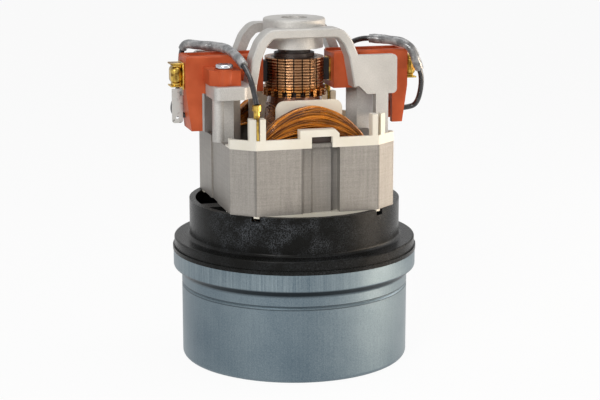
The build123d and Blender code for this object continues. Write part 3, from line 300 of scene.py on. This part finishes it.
def commutator_copper():
    """Bars worn by the brushes: fine grooves round the copper, brown film between pale bands."""
    copper = Finish("commutator_copper", metallic=1.0)
    grooves = copper.lines(190.0, distortion=1.5, detail=2.0)
    film = copper.noise(240, 3.0, stretch=(1, 1, 3))
    foot = copper.spread(copper.axis("Z"), 0.1635, 0.1605)
    worn = copper.between((0.55 * grooves + 0.5 * film).clamped(), (0.09, 0.036, 0.014), (0.54, 0.30, 0.16))
    copper.set("Base Color", copper.between(foot, worn, (0.42, 0.19, 0.06)))
    copper.set("Roughness", 0.20 + 0.2 * film)
    copper.bump(grooves, 0.00035)
    return copper


def winding_copper(name, dark, light):
    """Enamelled copper wire: glossy amber that differs from strand to strand, its darkest strands standing
    in for painted shade between the turns.
    """
    wire = Finish(name, metallic=0.6, coat=0.5)
    cloud = wire.noise(90, 3.0)
    # Partly painted shade: the dark end of the strand tones stands in for the shade in the gaps between
    # strands
    shade = wire.spread(0.6 * wire.attribute("strand") + 0.5 * cloud, 0.25, 0.85)
    wire.set("Base Color", wire.between(shade, dark, light))
    wire.set("Roughness", 0.16 + 0.16 * cloud)
    return wire


def yellow_brass():
    """Stamped brass, dented, with brown tarnish in patches."""
    brass = Finish("yellow_brass", metallic=1.0)
    tarnish = brass.noise(230, 4.0, 0.6)
    colour = brass.between(brass.spread(tarnish, 0.42, 0.62), (0.66, 0.45, 0.10), (0.17, 0.09, 0.02))
    brass.set("Base Color", colour)
    brass.set("Roughness", 0.20 + 0.25 * tarnish)
    brass.bump(brass.noise(220, 1.0), 0.0009)
    return brass


def bright_metal(name, colour, roughness, stain_and_dent_shade_share=0.5):
    """Plated or turned metal with handling marks and a few dark spots: stains, and on the tin tab partly
    painted shade of its dents.
    """
    metal = Finish(name, metallic=1.0)
    marks = metal.noise(420, 4.0, 0.65)
    stains_and_dent_shade = metal.spread(metal.noise(330, 3.0), 0.58, 0.70) * stain_and_dent_shade_share
    metal.set("Base Color", metal.between(stains_and_dent_shade, colour, tuple(0.18 * value for value in colour)))
    metal.set("Roughness", roughness + 0.16 * marks)
    metal.bump(marks, 0.0001)
    return metal


def lead_rubber():
    """Black glossy lead insulation with light handling dust."""
    rubber = Finish("lead_rubber", coat=0.4)
    dust = rubber.noise(300, 3.0)
    dusty = rubber.spread(dust, 0.5, 0.8)
    rubber.set("Base Color", rubber.between(dusty, (0.010, 0.010, 0.012), (0.05, 0.05, 0.055)))
    rubber.set("Roughness", 0.18 + 0.2 * dust)
    return rubber


def sleeve_film():
    """Grey sleeving, creased, with a painted highlight along its folds."""
    film = Finish("sleeve_film", coat=0.6)
    crease = film.noise(230, 3.0, 0.55)
    painted_crease_highlight = film.spread(crease, 0.4, 0.7)
    # Painted highlight: the sleeve is paler along the creases
    film.set("Base Color", film.between(painted_crease_highlight, (0.14, 0.143, 0.15), (0.44, 0.445, 0.45)))
    film.set("Roughness", 0.16 + 0.16 * crease)
    film.bump(crease, 0.0006)
    return film


def carbon_black():
    """Brush carbon, matt with a faint metallic grain."""
    carbon = Finish("carbon_black", metallic=0.2)
    carbon.set("Base Color", (0.02, 0.02, 0.021, 1.0))
    carbon.set("Roughness", 0.55)
    carbon.bump(carbon.noise(1500, 2.0), 0.00005)
    return carbon


def dark_moulding():
    """Brown-black resin of the commutator's hub."""
    resin = Finish("dark_moulding")
    resin.set("Base Color", (0.03, 0.016, 0.012, 1.0))
    resin.set("Roughness", 0.34 + 0.2 * resin.noise(700, 2.0))
    return resin


finishes = {
    "can": can_steel(),
    "black": black_plastic(),
    "stack": lamination_steel(),
    "armature": armature_steel(),
    "cast": cast_aluminium(),
    "cream": cream_moulding(),
    "red": red_moulding(),
    "commutator": commutator_copper(),
    # The coil's dark colour is partly painted shade of the gaps between its strands
    "coil": winding_copper("coil_copper", (0.08, 0.019, 0.002), (0.78, 0.27, 0.014)),
    "end_turns": winding_copper("end_turn_copper", (0.10, 0.03, 0.01), (0.38, 0.15, 0.04)),
    "brass": yellow_brass(),
    "zinc": bright_metal("zinc_plate", (0.52, 0.54, 0.58), 0.16),
    # The tin's strong dark spots are partly painted shade of the dents in the supply tab
    "tin": bright_metal("tin_plate", (0.56, 0.55, 0.52), 0.24, 0.9),
    "turned": bright_metal("turned_steel", (0.55, 0.55, 0.56), 0.22),
    "sheet": bright_metal("aluminium_sheet", (0.74, 0.75, 0.77), 0.3),
    "lead": lead_rubber(),
    "sleeve": sleeve_film(),
    "carbon": carbon_black(),
    "resin": dark_moulding(),
}

# Finish of every CAD node by the first of these words in its name, and turned steel for the rest
finish_words = [
    ("fan_can", "can"), ("diffuser_bracket", "black"), ("field_stack", "stack"),
    ("armature_stack", "armature"), ("insulator", "cream"), ("inlet_seal", "cream"),
    ("motor_bracket", "cast"), ("commutator_bars", "commutator"), ("commutator", "resin"),
    ("brush_holder", "red"), ("brush_tube", "brass"), ("brush_cap", "brass"), ("terminals", "brass"),
    ("supply_tab", "tin"), ("carbon", "carbon"), ("impeller", "sheet"), ("stage_guide", "sheet"),
    ("frame_screws", "zinc"), ("holder_screws", "zinc"), ("retainer_screws", "zinc"),
    ("armature_winding", "end_turns"), ("coil", "coil"), ("lead_wire", "lead"), ("sleeve", "sleeve"),
]


def finish_cad_nodes():
    """Give every CAD node the finish of the real piece."""
    for name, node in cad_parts.items():
        key = next((finish for word, finish in finish_words if word in name), "turned")
        node.data.materials.clear()
        node.data.materials.append(finishes[key].material)


def placed(name, mesh, finish, body, *replaced):
    """Put a finished mesh in the scene, on its body, in place of the nodes it stands for."""
    piece = bpy.data.objects.new(name, mesh)
    bpy.context.scene.collection.objects.link(piece)
    mesh.materials.append(finishes[finish].material)
    if replaced:
        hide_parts(*replaced)
    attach(piece, body)
    return piece


def mesh_of(name, shape):
    """A new mesh with the faces of a bmesh, which is freed.

    Points and faces are sorted by place, since Blender's tools list them in another order each run.
    """
    verts = sorted(shape.verts, key=lambda vert: tuple(vert.co))
    rank = {vert: number for number, vert in enumerate(verts)}
    faces = []
    for face in shape.faces:
        corners = [rank[vert] for vert in face.verts]
        first = corners.index(min(corners))
        faces.append(corners[first:] + corners[:first])
    mesh = bpy.data.meshes.new(name)
    mesh.from_pydata([tuple(vert.co) for vert in verts], [], sorted(faces))
    shape.free()
    return mesh


def edges_of(verts):
    """Every edge at these vertices once, always in the same order."""
    return list(dict.fromkeys(edge for vert in verts for edge in vert.link_edges))


def smoothed(mesh):
    """A mesh with all its faces shaded smooth."""
    for polygon in mesh.polygons:
        polygon.use_smooth = True
    return mesh


def new_curve(name, kind, routes):
    """A curve in space with one spline of this kind along each list of points."""
    curve = bpy.data.curves.new(name + "_line", "CURVE")
    curve.dimensions = "3D"
    for route in routes:
        spline = curve.splines.new(kind)
        spline.points.add(len(route) - 1)
        for point, place in zip(spline.points, route):
            point.co = (*place, 1.0)
    return curve


def mesh_of_curve(name, curve):
    """A new mesh with the shape of a curve, which is removed."""
    holder = bpy.data.objects.new(curve.name, curve)
    mesh = bpy.data.meshes.new_from_object(holder)
    mesh.name = name
    bpy.data.objects.remove(holder)
    bpy.data.curves.remove(curve)
    return mesh


def wire_mesh(name, routes, radius, roundness, closed=False):
    """One mesh of round wires along lists of points, each with its own value in the strand attribute."""
    curve = new_curve(name, "POLY", routes)
    curve.bevel_depth = radius
    curve.bevel_resolution = roundness
    curve.use_fill_caps = True
    for spline in curve.splines:
        spline.use_cyclic_u = closed
        spline.use_smooth = True
    mesh = smoothed(mesh_of_curve(name, curve))
    strand = mesh.attributes.new("strand", "FLOAT", "POINT")
    ring = len(mesh.vertices) / sum(len(route) for route in routes)
    shades = random.Random(len(routes))
    values = []
    for route in routes:
        values += [shades.random()] * round(len(route) * ring)
    for vertex, value in zip(strand.data, values):
        vertex.value = value
    return mesh


# Field coils: fine turns that lie close together in the slots and fan out into a lens above the stack.
# A turn's share goes from 0 on the inside of the bundle to 1 on its outside.
wire_radius = 0.40 * MM
wire_pitch = 0.74 * MM
front_layers = 3
layer_lean = 0.6
odd_layer_shift = 0.5
side_shares = (1.0, 0.96, 0.0, 0.05)
crown_steps = 36
crown_power = 1.75
coil_leg_x = 27.0 * MM
coil_outer_x = winding_high.x - wire_radius
coil_low_rise = 3.0 * MM
coil_high_rise = winding_high.z - stack_top - wire_radius
coil_wobble = 1.1 * MM
side_wobble = 0.6 * coil_wobble
coil_settle = 5.0 * MM
drift_scale = 55
stack_middle = (stack_top + stack_bottom) / 2
half_stack = (stack_top - stack_bottom) / 2

# Steps between the seeds of neighbouring turns, layers and rows, so that each turn drifts its own way
turn_seed = 3.1
layer_seed = 17
side_seed = 50
row_seed = 2.3


def coil_end(share, upper):
    """X and Z of the points of one end of a turn, from its right leg to its left one."""
    base, up = (stack_top, 1) if upper else (stack_bottom, -1)
    leg_x = coil_leg_x + (coil_outer_x - coil_leg_x) * share
    rise = coil_low_rise + (coil_high_rise - coil_low_rise) * share
    points = []
    for step in range(crown_steps + 1):
        turn = math.pi * step / crown_steps
        lift = math.sin(turn) ** crown_power
        points.append((leg_x * math.cos(turn), base + up * rise * lift))
    return points


def coil_turn(share, depth, wobble, seed):
    """One closed turn as points: over the stack to its left leg and back under it, a little uneven."""
    points = []
    for x, z in coil_end(share, True) + list(reversed(coil_end(share, False))):
        place = Vector((x, depth, z))
        drift = noise.noise_vector(place * drift_scale + Vector((seed, 0, 0)))
        beyond = max(0.0, abs(z - stack_middle) - half_stack)
        points.append(place + drift * wobble * min(1.0, beyond / coil_settle))
    return points


def field_coil(name, turned, nodes_replaced):
    """Bundle of fine turns over the front face and round the outer side of a field coil."""
    front = winding_low.y + wire_radius
    back = coil_core_high.y - wire_radius
    turns = int((coil_high_rise - coil_low_rise) / wire_pitch)
    rows = int((back - front) / wire_pitch)
    routes = []
    for layer in range(front_layers):
        for turn in range(turns + 1):
            share = min(1.0, max(0.0, (turn + odd_layer_shift * (layer % 2)) / turns))
            depth = front + (layer + layer_lean * (1 - share)) * wire_pitch
            routes.append(coil_turn(share, depth, coil_wobble, turn * turn_seed + layer * layer_seed))
    for row in range(front_layers, rows + 1):
        depth = front + row * wire_pitch
        for share in side_shares:
            routes.append(coil_turn(share, depth, side_wobble, side_seed + row * row_seed + share))
    if turned:
        routes = [[Vector((-x, -y, z)) for x, y, z in route] for route in routes]
    mesh = wire_mesh(name, routes, wire_radius, roundness=1, closed=True)
    placed(name, mesh, "coil", "frame", *nodes_replaced)


# Routes of the leads in metres, the same points as in the CAD source
left_route = [
    (-0.0616, 0.0045, 0.1456), (-0.0702, 0.0045, 0.1456), (-0.0704, 0.013, 0.149),
    (-0.0666, 0.0148, 0.1575), (-0.0646, 0.0144, 0.168), (-0.0644, 0.0148, 0.1794),
    (-0.0629, 0.0118, 0.1868), (-0.055, 0.0045, 0.1859), (-0.0445, -0.002, 0.1855),
    (-0.0408, -0.013, 0.184), (-0.0384, -0.0245, 0.1802), (-0.0366, -0.0335, 0.1748),
    (-0.0353, -0.0415, 0.167), (-0.03465, -0.04626, 0.158),
]
right_route = [
    (0.0616, -0.0045, 0.1456), (0.0712, -0.0045, 0.1456), (0.0743, -0.0075, 0.1495),
    (0.0754, -0.01, 0.158), (0.075, -0.0115, 0.166), (0.0716, -0.0134, 0.173),
    (0.0688, -0.0142, 0.1808), (0.0641, -0.0103, 0.1858), (0.057, -0.002, 0.1864),
    (0.05, 0.003, 0.1868), (0.044, 0.0065, 0.1866), (0.0405, 0.0155, 0.1838),
    (0.0382, 0.0265, 0.179), (0.0362, 0.0375, 0.171), (0.03465, 0.04626, 0.158),
]
lead_radius = 1.6 * MM
sleeve_radius = 3.1 * MM
sleeve_mouth = 2.0 * MM
sleeve_taper = 4.0 * MM
sleeve_crease = 0.35 * MM
broad_folds = 130
fine_folds = 330


def smooth_line(route):
    """Points along the smooth line that a route's points control."""
    curve = new_curve("route", "NURBS", [route])
    curve.resolution_u = 10
    for spline in curve.splines:
        spline.order_u = 3
        spline.use_endpoint_u = True
    mesh = mesh_of_curve("route", curve)
    line = [vertex.co.copy() for vertex in mesh.vertices]
    bpy.data.meshes.remove(mesh)
    return line


def lead(side, route, first_run, last_run):
    """A black lead over its route, and the creased sleeve from the middle of one run to another's."""
    line = smooth_line(route)
    name = side + "_lead"
    placed(name, wire_mesh(name, [line], lead_radius, roundness=4), "lead", "frame", side + "_lead_wire")
    span = len(line) / (len(route) - 2)
    covered = line[int(first_run * span):int(last_run * span)]
    name = side + "_sleeve"
    mesh = wire_mesh(name, [covered], sleeve_radius, roundness=6)
    for vertex in mesh.vertices:
        end_gap = min((vertex.co - covered[0]).length, (vertex.co - covered[-1]).length)
        near = min(covered, key=lambda place: (place - vertex.co).length)
        outward = (vertex.co - near).normalized()
        fold = noise.noise(vertex.co * broad_folds) + 0.5 * noise.noise(vertex.co * fine_folds)
        taper = max(0.0, 1.0 - end_gap / sleeve_taper) * (sleeve_radius - sleeve_mouth)
        vertex.co += outward * (sleeve_crease * (fold - 1.0) - taper)
    placed(name, mesh, "sleeve", "frame", side + "_lead_sleeve")


# End turns of the armature: a plain core, and the wires that cross over it from slot to slot
round_segments = 48
armature_radius = armature_high.x
end_core_bore = 8.0 * MM
end_core_crown = 2.0 * MM
upper_core_inset = 1.6 * MM
lower_core_inset = 1.2 * MM
slot_count = 11
slots_spanned = 5
strands = 7
strand_spacing = 0.06
end_wire_radius = 0.42 * MM
end_wire_steps = 14
end_wire_headroom = 1.4 * MM
end_wire_inset = 0.9 * MM
first_strand_bow = 0.8 * MM
further_strand_bow = 1.2 * MM
first_strand_lift = 0.35
further_strand_lift = 0.6
lift_power = 0.6


def armature_end_core():
    """Plain ring under the end turns, above and below the armature's stack."""
    shape = bmesh.new()
    for low, high, wide in (
            (stack_top, armature_high.z, armature_radius - upper_core_inset),
            (armature_low.z, stack_bottom, armature_radius - lower_core_inset)):
        ring = bmesh.ops.create_circle(shape, cap_ends=False, segments=round_segments, radius=end_core_bore,
                                       matrix=Matrix.Translation((0, 0, low)))["verts"]
        first = edges = edges_of(ring)
        for radius, z in ((wide, low), (wide, (low + high) / 2), (wide - end_core_crown, high),
                          (end_core_bore, high)):
            made = bmesh.ops.extrude_edge_only(shape, edges=edges)["geom"]
            edges = [item for item in made if isinstance(item, bmesh.types.BMEdge)]
            for vert in (item for item in made if isinstance(item, bmesh.types.BMVert)):
                turn = math.atan2(vert.co.y, vert.co.x)
                vert.co = Vector((radius * math.cos(turn), radius * math.sin(turn), z))
        bmesh.ops.bridge_loops(shape, edges=edges + first)
    bmesh.ops.recalc_face_normals(shape, faces=shape.faces)
    mesh = mesh_of("armature_end_turns", shape)
    placed("armature_end_core", mesh, "end_turns", "rotor", "armature_winding")


def armature_wires():
    """The crossing wires of the end turns, from slot to slot over both ends of the armature's stack."""
    routes = []
    for base, end_height, up in (
            (stack_top, armature_high.z - stack_top, 1), (stack_bottom, stack_bottom - armature_low.z, -1)):
        rise = end_height - end_wire_headroom
        for slot in range(slot_count):
            for strand in range(strands):
                start = (slot + strand_spacing * (strand - strands / 2)) * 2 * math.pi / slot_count
                highest = rise * (first_strand_lift + further_strand_lift * strand / strands)
                inward = first_strand_bow + further_strand_bow * strand / strands
                route = []
                for step in range(end_wire_steps + 1):
                    share = step / end_wire_steps
                    bow = math.sin(math.pi * share)
                    lift = highest * bow ** lift_power
                    turn = start + slots_spanned * 2 * math.pi / slot_count * share
                    radius = armature_radius - end_wire_inset - inward * bow
                    x, y = radius * math.cos(turn), radius * math.sin(turn)
                    route.append(Vector((x, y, base + up * lift)))
                routes.append(route)
    mesh = wire_mesh("armature_wires", routes, end_wire_radius, roundness=1)
    placed("armature_wires", mesh, "end_turns", "rotor")


spring_wire = 0.35 * MM
spring_turns = 9
spring_steps = 20 * spring_turns


def brush_spring(side):
    """Coiled spring behind a brush, pressed together towards its cap as the brush slides out."""
    low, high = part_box(side + "_brush_spring")
    coil_radius = (high.z - low.z) / 2 - spring_wire
    middle = (high + low) / 2
    length = high.x - low.x
    route = []
    for step in range(spring_steps + 1):
        share = step / spring_steps
        turn = 2 * math.pi * spring_turns * share
        x = low.x + spring_wire + (length - 2 * spring_wire) * share
        route.append(Vector((x, coil_radius * math.cos(turn), middle.z + coil_radius * math.sin(turn))))
    name = side + "_coil_spring"
    mesh = wire_mesh(name, [route], spring_wire, roundness=2)
    spring = placed(name, mesh, "zinc", "frame", side + "_brush_spring")
    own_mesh(spring)


def rounded_blocks(name, blocks):
    """One mesh of blocks in millimetres, each with its size, its middle and the radius of its edges."""
    shape = bmesh.new()
    for size, middle, radius in blocks:
        place = Matrix.Translation(Vector(middle) * MM) @ Matrix.Diagonal((*(Vector(size) * MM), 1))
        made = bmesh.ops.create_cube(shape, size=1.0, matrix=place)["verts"]
        bmesh.ops.bevel(shape, geom=edges_of(made), offset=radius * MM, segments=4, affect="EDGES",
                        profile=0.5, material=-1)
    return smoothed(mesh_of(name, shape))


# Block in the window of each clip in millimetres: its size, how far its middle lies off the shaft along
# X and Y and above the floor, and the radius of its edges
key_strip_end = ((12.0, 2.6, 2.4), 2.5, 47.5, 133.72, 0.15)
# The dark sheet is painted shade: it stands where the window shows only the shade inside
window_shade_sheet = ((12.1, 0.5, 6.1), 2.5, 46.3, 135.65, 0.1)

# Blocks of a brush cap in millimetres: size, distance of the middle from the shaft, its height and the
# radius of the edges, for the plug, the seat plate, the rounded barrel, its core and the two lips
cap_blocks = [
    ((2.4, 7.6, 13.2), 65.55, 170.5, 0.4),
    ((1.0, 13.6, 15.4), 67.27, 169.8, 0.3),
    ((6.3, 10.6, 10.2), 70.8, 170.3, 2.6),
    ((5.4, 7.4, 13.0), 70.3, 170.2, 1.2),
    ((7.0, 9.8, 0.9), 70.8, 176.7, 0.3),
    ((7.0, 9.8, 0.9), 70.8, 163.9, 0.3),
]


def clip_windows():
    """What shows in the window of each clip: the end of the key's laminations, and a dark sheet behind it
    that paints the shade inside.
    """
    for name, finish, (size, out_x, out_y, height, radius) in (
            ("key_strip_ends", "stack", key_strip_end), ("window_shade_sheets", "resin", window_shade_sheet)):
        blocks = [(size, (side * out_x, -side * out_y, height), radius) for side in (1, -1)]
        placed(name, rounded_blocks(name, blocks), finish, "frame")


def brush_cap(side_name, side):
    """Folded brass cap of a brush."""
    blocks = [(size, (side * out, 0, height), radius) for size, out, height, radius in cap_blocks]
    name = side_name + "_cap_shell"
    placed(name, rounded_blocks(name, blocks), "brass", "frame", side_name + "_brush_cap")


head_radius = 5.1 * MM
head_height = 2.6 * MM
head_round = 1.1 * MM
shank_radius = 1.8 * MM
cross_slot = (6.0 * MM, 1.0 * MM, 2.4 * MM)
cross_turns = (25, 115)
level_enough = 0.01 * MM


def screw_cylinder(shape, centre, radius, low, high):
    """Add an upright cylinder of a screw between two heights."""
    place = centre @ Matrix.Translation((0, 0, (low + high) / 2))
    return bmesh.ops.create_cone(shape, cap_ends=True, segments=round_segments, radius1=radius,
                                 radius2=radius, depth=high - low, matrix=place)["verts"]


def cross_cutter(centres):
    """Object that stands in the cross slots of both screws."""
    cut = bmesh.new()
    top = Matrix.Translation((0, 0, screw_high.z))
    for centre in centres:
        for turn in cross_turns:
            place = centre @ top @ Matrix.Rotation(math.radians(turn), 4, "Z")
            bmesh.ops.create_cube(cut, size=1.0, matrix=place @ Matrix.Diagonal((*cross_slot, 1)))
    cutter = bpy.data.objects.new("slot_cut", mesh_of("slot_cut", cut))
    bpy.context.scene.collection.objects.link(cutter)
    return cutter


def screw_heads():
    """The two bright holder screws, with a rounded head and a cross slot."""
    shape = bmesh.new()
    seat = screw_high.z - head_height
    reach_x = screw_high.x - head_radius
    reach_y = screw_high.y - head_radius
    centres = [Matrix.Translation((side * reach_x, side * reach_y, 0)) for side in (-1, 1)]
    for centre in centres:
        screw_cylinder(shape, centre, shank_radius, screw_low.z, seat)
        head = screw_cylinder(shape, centre, head_radius, seat, screw_high.z)
        rim = [edge for edge in edges_of(head)
               if all(abs(end.co.z - screw_high.z) < level_enough for end in edge.verts)]
        bmesh.ops.bevel(shape, geom=rim, offset=head_round, segments=5, affect="EDGES", profile=0.5,
                        material=-1)
    mesh = mesh_of("holder_screw_set", shape)
    screws = placed("holder_screw_set", mesh, "zinc", "frame", "holder_screws")
    for polygon in mesh.polygons:
        polygon.use_smooth = len(polygon.vertices) == 4
    cutter = cross_cutter(centres)
    modifier = screws.modifiers.new("slots", "BOOLEAN")
    modifier.operation = "DIFFERENCE"
    modifier.solver = "EXACT"
    modifier.use_self = True
    modifier.object = cutter
    bpy.context.view_layer.update()
    evaluated = screws.evaluated_get(bpy.context.evaluated_depsgraph_get())
    cut_result = bpy.data.meshes.new_from_object(evaluated)
    screws.modifiers.clear()
    screws.data = cut_result
    bpy.data.objects.remove(cutter)


# The camera of the photograph: where it stands and what it looks at, both a little to the right
camera_shift = Vector((0.9613, -0.2756, 0.0)) * 3.48 * MM
camera_place = Vector((-267.0, -931.2, 303.5)) * MM + camera_shift
camera_target = Vector((0, 0, 92.28)) * MM + camera_shift
lamp_target = Vector((0, 0, 0.1))
floor_glow = 0.94
floor_level = -0.0002
floor_half = 4

# Lamps: name, place and size in metres, power in watts and colour
lamps = [
    ("key_softbox", (-0.60, -0.80, 0.55), (0.40, 0.40), 6.5, (1.0, 0.99, 0.96)),
    ("right_softbox", (0.60, -0.66, 0.26), (0.24, 0.36), 1.0, (1.0, 0.93, 0.82)),
    ("low_strip", (0.72, -0.34, 0.04), (0.30, 0.12), 3.2, (1.0, 0.84, 0.66)),
    ("side_strip", (0.66, -0.08, 0.07), (0.32, 0.14), 1.2, (1.0, 0.84, 0.66)),
    ("rim_softbox", (0.90, 0.20, 0.40), (0.3, 0.5), 1.9, (1.0, 0.95, 0.88)),
    ("top_softbox", (0.05, 0.05, 0.95), (0.5, 0.5), 2.5, (1.0, 1.0, 1.0)),
]


def aimed(place, target):
    """Matrix of a camera or lamp that stands at one point and looks at another."""
    turn = (target - place).to_track_quat("-Z", "Y")
    return Matrix.Translation(place) @ turn.to_matrix().to_4x4()


def backdrop_rays(tree):
    """1 for the rays that meet the plain backdrop: from the camera, through glass and off shiny metal."""
    path = tree.nodes.new("ShaderNodeLightPath")
    shown = path.outputs["Is Camera Ray"]
    for kind in ("Is Transmission Ray", "Is Glossy Ray"):
        either = tree.nodes.new("ShaderNodeMath")
        either.operation = "MAXIMUM"
        tree.links.new(shown, either.inputs[0])
        tree.links.new(path.outputs[kind], either.inputs[1])
        shown = either.outputs[0]
    return shown


def blend_shaders(tree, factor, lit, bright, output):
    """Link an output to the lit shader, and to the bright one for the share of the factor."""
    blend = tree.nodes.new("ShaderNodeMixShader")
    for index, socket in enumerate((factor, lit, bright)):
        tree.links.new(socket, blend.inputs[index])
    tree.links.new(blend.outputs[0], output)


def photo_camera():
    """Camera at the photograph's place."""
    scene = bpy.context.scene
    camera_data = bpy.data.cameras.new("photo_camera")
    camera_data.lens = 100
    camera_data.sensor_width = 36
    camera = bpy.data.objects.new("photo_camera", camera_data)
    camera.matrix_world = aimed(camera_place, camera_target)
    scene.collection.objects.link(camera)
    scene.camera = camera


def pale_floor():
    """Plain floor that the camera sees nearly white, with the shadow of the unit."""
    shape = bmesh.new()
    bmesh.ops.create_grid(shape, x_segments=1, y_segments=1, size=floor_half,
                          matrix=Matrix.Translation((0, 0, floor_level)))
    floor = bpy.data.objects.new("floor", mesh_of("floor", shape))
    bpy.context.scene.collection.objects.link(floor)
    pale = Finish("pale_floor", specular=0.1)
    pale.set("Base Color", (0.9, 0.9, 0.9, 1.0))
    pale.set("Roughness", 0.7)
    floor.data.materials.append(pale.material)
    glow = pale.tree.nodes.new("ShaderNodeEmission")
    seen = Signal(pale, backdrop_rays(pale.tree)) * floor_glow
    blend_shaders(pale.tree, seen.socket, pale.shader.outputs[0], glow.outputs[0],
                  pale.tree.nodes["Material Output"].inputs[0])


def studio_world():
    """Faint even light from all round, and a plain pale backdrop."""
    world = bpy.data.worlds.new("studio")
    bpy.context.scene.world = world
    world.use_nodes = True
    tree = world.node_tree
    faint = tree.nodes["Background"]
    faint.inputs[0].default_value = (0.9, 0.93, 1.0, 1)
    faint.inputs[1].default_value = 0.08
    pale = tree.nodes.new("ShaderNodeBackground")
    pale.inputs[1].default_value = 1.0
    blend_shaders(tree, backdrop_rays(tree), faint.outputs[0], pale.outputs[0],
                  tree.nodes["World Output"].inputs[0])


def studio_lamps():
    """Soft lamps on both sides and above, which the camera doesn't see."""
    for name, place, size, power, colour in lamps:
        lamp = bpy.data.lights.new(name, "AREA")
        lamp.shape = "RECTANGLE"
        lamp.size, lamp.size_y = size
        lamp.energy = power
        lamp.color = colour
        holder = bpy.data.objects.new(name, lamp)
        holder.visible_camera = False
        holder.matrix_world = aimed(Vector(place), lamp_target)
        bpy.context.scene.collection.objects.link(holder)


finish_cad_nodes()
field_coil("front_coil_wires", False, ["coil_winding_front", "field_coil_front"])
field_coil("back_coil_wires", True, ["coil_winding_back", "field_coil_back"])
lead("left", left_route, first_run=5, last_run=10)
lead("right", right_route, first_run=4, last_run=9)
armature_end_core()
armature_wires()
brush_spring("left")
brush_spring("right")
clip_windows()
brush_cap("left", -1)
brush_cap("right", 1)
screw_heads()
bpy.context.scene.view_settings.view_transform = "Standard"
photo_camera()
pale_floor()
studio_world()
studio_lamps()
